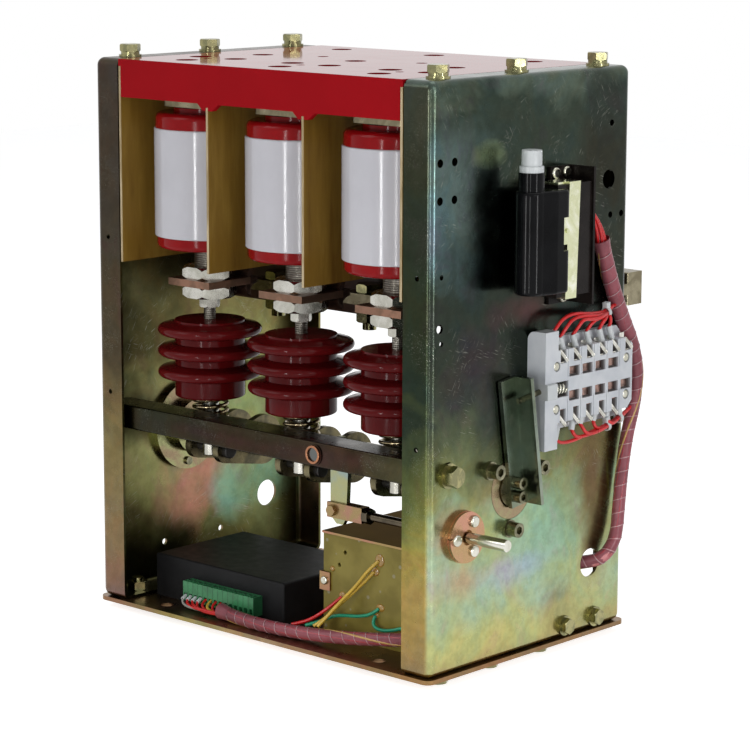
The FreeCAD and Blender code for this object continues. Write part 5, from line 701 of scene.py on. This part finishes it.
HARNESS_ROUTE = [
    (-50, -89.5, 9), (-24, -93.2, 7.8), (4, -93, 7.8), (34, -90.5, 8.4), (64, -86, 10.6), (92, -81.5, 13.8),
    (118, -77.5, 17.5), (135, -68, 20.5), (143, -48, 24), (144.5, -22, 29), (144, 5, 35.5), (141.5, 31, 42.5),
    (142, 53, 48.5), (152, 66, 50.4), (164, 72.5, 53), (166.4, 84.5, 65), (165, 88.5, 87), (164.4, 92, 112),
    (164.6, 97, 138), (165, 104, 160), (165.4, 105.5, 181), (164.9, 100.5, 201), (164.4, 89.5, 220), (163.8, 78.5, 242),
    (163.6, 69, 266), (163.8, 60.5, 287), (164.2, 48, 300),
]
LEADS = [
    ("upper_yellow_lead", wire_yellow, 0.0658, [
        (80.9, -66.2, 63.3), (75.5, -70.5, 57), (66.5, -73, 44.5), (55, -76.5, 32), (47.5, -81.5, 21.5),
        (43, -86.2, 14.2)]),
    ("lower_yellow_lead", wire_yellow, 0.0607, [
        (76.9, -66.2, 55.1), (72, -69.5, 48.5), (62.5, -71.5, 39), (51, -74.5, 28), (44, -80, 18.5),
        (38.5, -85.6, 13.6)]),
    ("red_lead", wire_red, 0.0418, [
        (46.9, -66.2, 32), (40.5, -69.5, 25.5), (34.5, -74, 19.5), (27, -81, 13.5), (18, -86.3, 11)]),
    ("green_lead", wire_green, 0.0604, [
        (81.4, -66.2, 30.1), (77, -69, 25.5), (66, -70, 22.5), (54, -70.5, 21), (44.5, -72.5, 19.5),
        (36.5, -79.5, 14.5), (30, -85, 12.3)]),
    ("short_green_lead", wire_green, 0.0454, [
        (78.2, -66.2, 24.6), (77.5, -69.5, 19.5), (86, -71.5, 16.8), (97, -71, 18.5), (105, -68.5, 21.5),
        (116, -66.8, 23)]),
]


def clear_selection():
    """Leave edit mode and select nothing."""
    if bpy.context.object and bpy.context.object.mode != "OBJECT":
        bpy.ops.object.mode_set(mode="OBJECT")
    bpy.ops.object.select_all(action="DESELECT")


def pick_faces(obj, test):
    """Go into edit mode with the faces selected that pass a test."""
    bpy.ops.object.mode_set(mode="OBJECT")
    mesh = obj.data
    for vertex in mesh.vertices:
        vertex.select = False
    for edge in mesh.edges:
        edge.select = False
    for face in mesh.polygons:
        face.select = test(face)
    bpy.context.tool_settings.mesh_select_mode = (False, False, True)
    bpy.ops.object.mode_set(mode="EDIT")


def ease_edges(obj, width, segments=2):
    """Round the sharp edges and smooth the shading."""
    bpy.ops.object.mode_set(mode="OBJECT")
    bevel = obj.modifiers.new("eased_edges", "BEVEL")
    bevel.width = width * MM
    bevel.segments = segments
    bevel.limit_method = "ANGLE"
    bpy.ops.object.modifier_apply(modifier=bevel.name)
    bpy.ops.object.shade_smooth_by_angle(angle=math.radians(40))


def settle(obj, name, mat):
    """Put the piece's place into its mesh, name it, dress it and let it ride."""
    bpy.ops.object.mode_set(mode="OBJECT")
    bpy.ops.object.transform_apply(location=True, rotation=True, scale=True)
    obj.name = name
    dress(obj, mat)
    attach(obj, "frame")


def line_of(points, steps=14):
    """Points in metres along a route's own line, read from a curve with no thickness."""
    curve = bpy.data.curves.new("route_line", "CURVE")
    curve.dimensions = "3D"
    curve.resolution_u = steps
    spline = curve.splines.new("NURBS")
    spline.points.add(len(points) - 1)
    for target, point in zip(spline.points, points):
        target.co = (*metres(point), 1.0)
    spline.order_u = 3
    spline.use_endpoint_u = True
    holder = bpy.data.objects.new("route_line", curve)
    mesh = bpy.data.meshes.new_from_object(holder)
    line = [vertex.co.copy() for vertex in mesh.vertices]
    bpy.data.objects.remove(holder)
    bpy.data.meshes.remove(mesh)
    return line


def length_of(line):
    """Length of a line of points."""
    return sum((b - a).length for a, b in zip(line, line[1:]))


class Route:
    """A line with distances along it and side directions carried along without twist."""

    def __init__(self, line):
        self.line = line
        self.reach = [0.0]
        for a, b in zip(line, line[1:]):
            self.reach.append(self.reach[-1] + (b - a).length)
        self.total = self.reach[-1]
        self.side = []
        ahead = (line[1] - line[0]).normalized()
        side = ahead.cross(Vector((0.0, 0.0, 1.0)))
        if side.length < 0.1:
            side = ahead.cross(Vector((0.0, 1.0, 0.0)))
        for index in range(len(line)):
            following = line[min(index + 1, len(line) - 1)] - line[max(index - 1, 0)]
            ahead = following.normalized()
            side = (side - ahead * side.dot(ahead)).normalized()
            self.side.append((side.copy(), ahead.cross(side)))
        self.at = 0

    def frame(self, distance):
        """Centre and two side directions at a distance from the start."""
        distance = min(max(distance, 0.0), self.total)
        while self.at > 0 and self.reach[self.at] > distance:
            self.at -= 1
        while self.at < len(self.reach) - 2 and self.reach[self.at + 1] < distance:
            self.at += 1
        part = (distance - self.reach[self.at]) / max(self.reach[self.at + 1] - self.reach[self.at], 1e-9)
        centre = self.line[self.at].lerp(self.line[self.at + 1], part)
        side = self.side[self.at][0].lerp(self.side[self.at + 1][0], part).normalized()
        other = self.side[self.at][1].lerp(self.side[self.at + 1][1], part).normalized()
        return centre, side, other


def ring_of(middle, first, second, radius, sides=8):
    """Points on a circle round a middle, in the plane of two directions; radius in millimetres."""
    turns = (2.0 * math.pi * corner / sides for corner in range(sides))
    return [middle + (first * math.cos(a) + second * math.sin(a)) * radius * MM for a in turns]


def surface(name, rings, mat, closed_ends=True, smooth=50.0):
    """Mesh over rings of points; each ring has the same number of points."""
    count = len(rings[0])
    verts = [point for ring in rings for point in ring]
    faces = []
    for row in range(len(rings) - 1):
        for column in range(count):
            nxt = (column + 1) % count
            faces.append((row * count + column, row * count + nxt, (row + 1) * count + nxt, (row + 1) * count + column))
    if closed_ends:
        faces.append(tuple(reversed(range(count))))
        faces.append(tuple((len(rings) - 1) * count + column for column in range(count)))
    mesh = bpy.data.meshes.new(name)
    mesh.from_pydata(verts, [], faces)
    obj = bpy.data.objects.new(name, mesh)
    bpy.context.scene.collection.objects.link(obj)
    clear_selection()
    bpy.context.view_layer.objects.active = obj
    obj.select_set(True)
    bpy.ops.object.mode_set(mode="EDIT")
    bpy.ops.mesh.select_all(action="SELECT")
    bpy.ops.mesh.remove_doubles(threshold=0.000002)
    bpy.ops.mesh.normals_make_consistent(inside=False)
    bpy.ops.object.mode_set(mode="OBJECT")
    bpy.ops.object.shade_smooth_by_angle(angle=math.radians(smooth))
    dress(obj, mat)
    return obj


def skin(name, rings, mat, closed_ends=True):
    """Surface over rings that stays with the frame."""
    obj = surface(name, rings, mat, closed_ends)
    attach(obj, "frame")
    return obj


def fullness(along):
    """How much thicker the bundle is where the switch wires join it."""
    rise = min(1.0, max(0.0, (along - 435.0) / 60.0))
    fall = min(1.0, max(0.0, (600.0 - along) / 25.0))
    return 1.0 + 0.22 * min(rise, fall)


def wound_film(name, route, radius, pitch, width, thick, mat, turn, start, end):
    """Strip wound round a route: width runs along it, radius is its inside."""
    rings = []
    steps = int((end - start) / pitch * 18)
    for step in range(steps + 1):
        along = start + (end - start) * step / steps
        angle = turn + 2.0 * math.pi * along / pitch
        ring = []
        for shift, out in ((-0.5, 0.0), (0.5, 0.0), (0.5, 1.0), (-0.5, 1.0)):
            centre, side, other = route.frame((along + shift * width) * MM)
            reach = radius * fullness(along) + out * thick
            ring.append(centre + (side * math.cos(angle) + other * math.sin(angle)) * reach * MM)
        rings.append(ring)
    return skin(name, rings, mat)


def laid_strand(name, route, offset, turn, radius, mat, start, end, pitch, spread=0.0):
    """Round strand beside a route, slowly wound; it spreads outwards towards its end."""
    rings = []
    steps = max(6, int(abs(end - start) / 1.6))
    for step in range(steps + 1):
        part = step / steps
        along = start + (end - start) * part
        angle = turn + 2.0 * math.pi * along / pitch
        centre, side, other = route.frame(along * MM)
        out = side * math.cos(angle) + other * math.sin(angle)
        middle = centre + out * (offset * fullness(along) + spread * part * part) * MM
        round_way = other * math.cos(angle) - side * math.sin(angle)
        rings.append(ring_of(middle, out, round_way, radius))
    return skin(name, rings, mat)


def flared_film(name, route, start, end, narrow, wide):
    """Open flared end of the film, a thin shell round the wires."""
    rings = []
    for thick, order in ((0.3, range(7)), (0.0, reversed(range(7)))):
        for step in order:
            part = step / 6
            centre, side, other = route.frame((start + (end - start) * part) * MM)
            reach = narrow + (wide - narrow) * part ** 1.5 + thick
            rings.append(ring_of(centre, side, other, reach, 24))
    rings.append(rings[0])
    return skin(name, rings, film_pink, False)


def wire_piece(name, points, radius, mat):
    """Short insulated wire with both ends let in."""
    wire = run_of(name, points, radius, mat)
    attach(wire, "frame")
    metres(points[0])
    length_of(line_of(points))


def sleeve(name, start, end, radius, mat):
    """Hollow-ended insulating sleeve between two points in millimetres."""
    clear_selection()
    a, b = Vector(metres(start)), Vector(metres(end))
    bpy.ops.mesh.primitive_cylinder_add(
        vertices=20, radius=radius * MM, depth=(b - a).length, location=(a + b) / 2,
        rotation=(b - a).to_track_quat("Z", "Y").to_euler())
    obj = bpy.context.object
    pick_faces(obj, lambda face: face.normal.z > 0.9)
    bpy.ops.mesh.inset(thickness=radius * 0.35 * MM)
    bpy.ops.mesh.extrude_region_move(TRANSFORM_OT_translate={"value": (a - b) * 0.35})
    ease_edges(obj, 0.3)
    settle(obj, name, mat)


def cable_tie(name, centre, ahead, radius, mat):
    """Flat tie round a bundle with its square head."""
    clear_selection()
    middle = Vector(metres(centre))
    turn = Vector(ahead).to_track_quat("Z", "Y").to_euler()
    bpy.ops.mesh.primitive_cylinder_add(vertices=28, radius=radius * MM, depth=2.6 * MM, end_fill_type="NOTHING",
                                        location=middle, rotation=turn)
    band = bpy.context.object
    wall = band.modifiers.new("band_wall", "SOLIDIFY")
    wall.thickness = 0.8 * MM
    bpy.ops.object.modifier_apply(modifier=wall.name)
    head_at = middle + turn.to_matrix() @ Vector((0.0, (radius + 1.2) * MM, 0.0))
    bpy.ops.object.transform_apply(location=True, rotation=True, scale=True)
    bpy.ops.object.select_all(action="DESELECT")
    bpy.ops.mesh.primitive_cube_add(size=4.0 * MM, location=head_at, rotation=turn)
    head = bpy.context.object
    pick_faces(head, lambda face: face.normal.y > 0.9)
    bpy.ops.mesh.inset(thickness=0.8 * MM)
    bpy.ops.mesh.extrude_region_move(TRANSFORM_OT_translate={"value": turn.to_matrix() @ Vector((0.0, -1.2 * MM, 0.0))})
    bpy.ops.object.mode_set(mode="OBJECT")
    bpy.ops.object.transform_apply(location=True, rotation=True, scale=True)
    band.select_set(True)
    bpy.context.view_layer.objects.active = band
    bpy.ops.object.join()
    ease_edges(band, 0.25)
    settle(band, name, mat)


# Harness: spiral film over coloured wires, with wires showing at both ends

STREAKS = (
    (0.2, streak_yellow, 3.86, 150.0), (1.5, streak_red, 3.68, 330.0), (2.6, streak_red, 3.68, 330.0),
    (4.0, streak_red, 3.68, 330.0), (5.2, streak_red, 3.68, 330.0),
)


def dress_harness():
    """Trunk of the harness with its film, seams and the wires at its ends."""
    trunk = run_of("harness_cord", HARNESS_ROUTE, 4.3, wrap_pink)
    trunk.data.resolution_u = 10
    for index in (0, 1, -2, -1):
        trunk.data.splines[0].points[index].radius = 0.55
    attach(trunk, "frame")
    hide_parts("harness")
    line = line_of(HARNESS_ROUTE)
    route = Route(line)
    full = route.total / MM
    pieces = [
        wound_film("harness_film", route, 4.25, 9.6, 8.9, 0.28, film_pink, 0.0, 10.0, full - 34.0),
        wound_film("harness_seam", route, 4.30, 9.6, 0.5, 0.40, seam_white, math.pi * 1.06, 10.0, full - 34.0),
        flared_film("harness_front_flare", route, 14.0, 3.0, 4.45, 5.5),
        flared_film("harness_top_flare", route, full - 38.0, full - 28.0, 5.2, 6.0),
    ]
    for index, (turn, mat, offset, lay) in enumerate(STREAKS):
        pieces.append(laid_strand("harness_streak_%d" % (index + 1), route, offset, turn, 0.95, mat,
                                  14.0, full - 36.0, lay))
    for index, mat in enumerate((wire_red, wire_yellow, wire_red, wire_red, wire_grey, wire_red, wire_red)):
        angle = 2.0 * math.pi * index / 7
        pieces.append(laid_strand("harness_top_wire_%d" % (index + 1), route, 2.75, angle, 1.15, wire_red,
                                  full - 46.0, full - 0.5, 120.0, -0.6))
        pieces.append(laid_strand("harness_end_wire_%d" % (index + 1), route, 2.75, angle, 1.15, mat,
                                  40.0, 0.5, 120.0, 0.2))
    metres(HARNESS_ROUTE[0])


CONNECTOR_WIRES = [
    (-90.2, 10.8, wire_grey), (-85.2, 10.8, wire_red), (-80.1, 11.0, wire_red), (-75.0, 11.0, wire_red),
    (-69.9, 11.0, wire_red), (-64.8, 11.2, wire_yellow), (-59.7, 11.2, wire_red), (-54.7, 11.2, wire_red),
]


def wire_connector():
    """Wires from the open end of the harness to the ways of the green connector."""
    for index, (x, z, mat) in enumerate(CONNECTOR_WIRES):
        drop = 6.2 + 0.5 * (index % 3)
        points = [(-16, -93 - 0.4 * (index % 2), 8.0), (-34, -92.4 - 0.5 * (index % 3), drop + 1.4),
                  (x + 15, -92.8 - 0.45 * (index % 4), drop), (x + 3.5, -90.0 - 0.5 * (index % 2), drop + 0.6),
                  (x, -86.6, z - 1.0), (x, -82.8, z + 0.4)]
        wire_piece("connector_wire_%d" % (index + 1), points, 0.95, mat)
        if index < 4:
            sleeve("connector_sleeve_%d" % (index + 1), (x, -83.2, z + 0.3), (x + 0.8, -87.6, z - 1.4), 1.35, nylon)


UPPER_WIRES = [
    [(8.1, 221.4), (13.3, 227.9), (21.9, 231.0), (30.5, 231.4), (46.0, 229.2), (63.8, 228.1)],
    [(14.7, 216.8), (17.7, 223.3), (26.2, 229.1), (40.5, 228.8), (54.9, 227.1), (66.0, 227.9)],
    [(28.2, 216.9), (29.7, 223.2), (35.0, 227.4), (46.1, 225.7), (57.1, 226.8), (66.0, 227.9)],
    [(43.0, 217.4), (45.1, 222.7), (52.7, 225.3), (60.5, 225.4), (67.2, 227.7)],
    [(56.9, 217.1), (55.6, 222.1), (60.5, 225.0), (66.0, 228.6)],
    [(67.5, 217.9), (64.5, 223.2), (66.0, 227.9)],
]
LOWER_WIRES = [
    [(10.9, 148.5), (13.2, 146.0), (20.8, 144.5), (32.9, 145.1), (48.3, 147.7), (65.1, 150.1), (79.7, 152.1)],
    [(28.3, 152.8), (27.2, 150.1), (31.7, 146.7), (41.7, 146.6), (59.5, 148.1), (82.0, 153.2)],
    [(37.5, 155.6), (37.1, 150.7), (42.8, 147.1), (57.2, 148.4), (82.0, 152.5)],
    [(52.0, 155.5), (50.4, 152.3), (55.0, 148.8), (66.2, 149.9), (82.0, 153.2)],
    [(66.0, 154.9), (65.2, 152.2), (70.7, 150.7), (82.0, 153.2)],
]


def wire_switch():
    """Red wires of the auxiliary switch, with sleeves at the blades and ties at the harness."""
    for side, wires in (("upper", UPPER_WIRES), ("lower", LOWER_WIRES)):
        for index, run in enumerate(wires):
            layer = 170.6 + 1.2 * (index % 3) + 0.3 * index
            points = [(169.6, *run[0])] + [(layer, *place) for place in run[1:-1]]
            points.append((168.6 + 0.5 * (index % 3), *run[-1]))
            if side == "upper":
                points += [(166.5, 75.5, 231.0), (164.6, 83.5, 231.5)]
                toward = (168.9, run[0][0] + 4.6, run[0][1] - 8.8)
            else:
                points += [(166.5, 95.0, 156.0), (164.9, 102.5, 158.5)]
                toward = (168.9, run[0][0] + 3.0, run[0][1] + 7.6)
            wire_piece("switch_%s_wire_%d" % (side, index + 1), points, 1.25, wire_red)
            start = (169.7, run[0][0] - (toward[1] - run[0][0]) * 0.1, run[0][1] - (toward[2] - run[0][1]) * 0.1)
            sleeve("switch_%s_sleeve_%d" % (side, index + 1), toward, start, 2.1, nylon)
    cable_tie("upper_wire_tie", (169.2, 65.5, 228.0), (0.0, 1.0, 0.1), 3.7, nylon)
    cable_tie("lower_wire_tie", (170.6, 66.0, 149.4), (0.0, 1.0, 0.15), 3.4, nylon)
    cable_tie("rear_wire_tie", (169.8, 80.5, 152.8), (0.0, 1.0, 0.2), 3.6, nylon)


BLADE_PLACES = [(173.5, y, 204.6) for y in (14.0, 28.1, 42.2, 56.3, 70.4, 84.5)] + [
    (172.6, y, 160.6) for y in (14.0, 28.1, 42.2, 56.3, 70.4)]


def fit_blades():
    """Tinned push-on blades, one slanting across each niche of the switch."""
    clear_selection()
    bpy.ops.mesh.primitive_cube_add(size=1.0, location=(0.0, 0.0, 0.0), scale=metres((0.8, 2.6, 9.0)))
    blade = bpy.context.object
    bpy.ops.object.transform_apply(location=True, rotation=True, scale=True)
    pick_faces(blade, lambda face: face.normal.z > 0.9)
    bpy.ops.mesh.extrude_region_move(TRANSFORM_OT_translate={"value": (0.0, 0.0, 1.2 * MM)})
    bpy.ops.transform.resize(value=(0.7, 0.45, 1.0))
    pick_faces(blade, lambda face: face.normal.x > 0.9)
    bpy.ops.mesh.inset(thickness=0.5 * MM)
    bpy.ops.mesh.extrude_region_move(TRANSFORM_OT_translate={"value": (-0.2 * MM, 0.0, 0.0)})
    ease_edges(blade, 0.12)
    pieces = [blade]
    for _ in BLADE_PLACES[1:]:
        piece = blade.copy()
        piece.data = blade.data.copy()
        bpy.context.scene.collection.objects.link(piece)
        pieces.append(piece)
    lean = Matrix.Rotation(math.radians(38.0), 4, "X")
    tilt = Matrix.Rotation(math.radians(-12.0), 4, "Y")
    for index, (piece, (x, y, z)) in enumerate(zip(pieces, BLADE_PLACES)):
        piece.data.transform(Matrix.Translation(metres((x, y + 0.6, z))) @ lean @ tilt)
        piece.name = "switch_blade_%d" % (index + 1)
        piece.data.materials.clear()
        piece.data.materials.append(contact_tin)
        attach(piece, "frame")


def fit_bush():
    """Copper bush ring round the pivot pin in the front of the beam."""
    clear_selection()
    bpy.ops.mesh.primitive_cylinder_add(vertices=40, radius=6.3 * MM, depth=1.2 * MM,
                                        location=metres((49.4, -97.9, 137.0)), rotation=(math.radians(90.0), 0.0, 0.0))
    ring = bpy.context.object
    pick_faces(ring, lambda face: abs(face.normal.z) > 0.9)
    bpy.ops.mesh.inset(thickness=1.6 * MM, use_individual=True)
    bpy.ops.mesh.bridge_edge_loops()
    ease_edges(ring, 0.25, 3)
    settle(ring, "pivot_bush_ring", bush_copper)


def lay_leads():
    """Leads that are soldered to the circuit board."""
    for name, mat, length, points in LEADS:
        lead = run_of(name, points, 1.25, mat)
        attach(lead, "frame")
        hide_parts("leads")
        metres(points[0])


def resin_blob(name, centre, wide, high, mat):
    """Flattened drop of resin over a solder joint."""
    clear_selection()
    bpy.ops.mesh.primitive_uv_sphere_add(segments=20, ring_count=12, radius=1.0,
                                         location=metres(centre), scale=(wide * MM, 1.5 * MM, high * MM))
    drop = bpy.context.object
    bpy.ops.object.transform_apply(location=False, rotation=False, scale=True)
    bpy.ops.object.mode_set(mode="EDIT")
    bpy.ops.mesh.select_all(action="SELECT")
    bpy.ops.mesh.bisect(plane_co=metres(centre), plane_no=(0.0, 1.0, 0.0), use_fill=True, clear_outer=True)
    bpy.ops.object.mode_set(mode="OBJECT")
    bpy.ops.object.shade_smooth_by_angle(angle=math.radians(60))
    settle(drop, name, mat)


RESIN_DROPS = (
    (80.9, 63.3, 4.2, 4.6), (76.9, 55.1, 3.6, 3.4), (46.5, 32.4, 3.4, 3.0), (81.5, 30.3, 3.8, 2.8),
    (78.2, 24.8, 2.6, 2.2), (37.0, 50.0, 2.2, 2.0),
)


def solder_board():
    """Amber resin over the joints of the circuit board."""
    for index, (x, z, wide, high) in enumerate(RESIN_DROPS):
        resin_blob("solder_resin_%d" % (index + 1), (x, -65.0, z), wide, high, amber_resin)


LINK_LEAVES = 8
LEAF_SPACING = 0.62
LEAF_THICKNESS = 0.46
LINK_WIDTH = 36.0
LINK_TOP = 236.0
LINK_LOW = 219.0
LINK_BEND = 13.0
STEM_EDGE = -37.0
BEND_END = -2.0
TERMINAL_EDGE = 22.5


def link_leaf(x, lift):
    """One thin copper leaf: straight from the stem, bent down, then straight onto the terminal."""
    turn = math.radians(60.0)
    slope = (LINK_TOP - LINK_LOW - 2 * LINK_BEND * (1 - math.cos(turn))) / math.sin(turn)
    run = 2 * LINK_BEND * math.sin(turn) + slope * math.cos(turn)
    first = BEND_END - run
    clear_selection()
    bpy.ops.mesh.primitive_plane_add(size=LINK_WIDTH * MM,
                                     location=metres((x, STEM_EDGE - LINK_WIDTH / 2, LINK_TOP + lift)))
    leaf = bpy.context.object
    bpy.ops.object.transform_apply(location=True, rotation=True, scale=True)
    near = (STEM_EDGE - LINK_WIDTH) * MM
    for vertex in leaf.data.vertices:
        if vertex.co.y < near + 0.001:
            vertex.co.y = STEM_EDGE * MM
        else:
            vertex.co.y = first * MM
    for vertex in leaf.data.vertices:
        vertex.select = vertex.co.y > (first - 1.0) * MM
    for edge in leaf.data.edges:
        edge.select = all(leaf.data.vertices[v].select for v in edge.vertices)
    for face in leaf.data.polygons:
        face.select = False
    bpy.context.tool_settings.mesh_select_mode = (False, True, False)
    bpy.ops.object.mode_set(mode="EDIT")
    bpy.ops.mesh.spin(steps=8, angle=-turn, center=metres((x, first, LINK_TOP - LINK_BEND)), axis=(1.0, 0.0, 0.0))
    down = (0.0, slope * math.cos(turn) * MM, -slope * math.sin(turn) * MM)
    bpy.ops.mesh.extrude_region_move(TRANSFORM_OT_translate={"value": down})
    bpy.ops.mesh.spin(steps=8, angle=turn, center=metres((x, first + run, LINK_LOW + LINK_BEND)), axis=(1.0, 0.0, 0.0))
    bpy.ops.mesh.extrude_region_move(TRANSFORM_OT_translate={"value": (0.0, (TERMINAL_EDGE - BEND_END) * MM, 0.0)})
    bpy.ops.mesh.select_all(action="SELECT")
    bpy.ops.mesh.remove_doubles(threshold=0.00001)
    bpy.ops.mesh.normals_make_consistent(inside=False)
    bpy.ops.object.mode_set(mode="OBJECT")
    sheet = leaf.modifiers.new("leaf_sheet", "SOLIDIFY")
    sheet.thickness = LEAF_THICKNESS * MM
    sheet.offset = 0.0
    bpy.ops.object.modifier_apply(modifier=sheet.name)
    bpy.ops.object.shade_smooth_by_angle(angle=math.radians(40))
    return leaf


def laminate_links():
    """Leaves of the three flexible links, which bend between stem and terminal."""
    for pole, x in (("1", -90.0), ("2", 0.0), ("3", 90.0)):
        leaves = [link_leaf(x, (index - (LINK_LEAVES - 1) / 2.0) * LEAF_SPACING) for index in range(LINK_LEAVES)]
        clear_selection()
        for leaf in leaves:
            leaf.select_set(True)
        bpy.context.view_layer.objects.active = leaves[0]
        bpy.ops.object.join()
        stack = leaves[0]
        stack.name = "link_leaves_" + pole
        dress(stack, leaf_copper)
        metres((x, -37.0, 236.0))
        metres((x, -2.0, 219.0))
        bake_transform(stack)
        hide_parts("flexible_link_" + pole)


def coil_switch_spring():
    """Return spring of the switch slider, between the slider and its wall."""
    rings = []
    turns, steps = 4.0, 22
    for step in range(int(turns * steps) + 1):
        part = step / (turns * steps)
        angle = 2.0 * math.pi * turns * part
        out = Vector((math.cos(angle), 0.0, math.sin(angle)))
        middle = Vector(metres((168.5, 5.85 + 12.8 * part, 182.5))) + out * 4.2 * MM
        rings.append(ring_of(middle, out, Vector((0.0, 1.0, 0.0)), 0.75))
    coil = surface("slider_spring", rings, bright_steel, smooth=180.0)
    metres((168.5, 5.1, 182.5))
    metres((168.5, 19.4, 182.5))
    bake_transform(coil)
    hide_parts("aux_spring")


place_camera()
studio()
floor()
dress_harness()
wire_connector()
wire_switch()
fit_blades()
fit_bush()
lay_leads()
solder_board()
laminate_links()
coil_switch_spring()
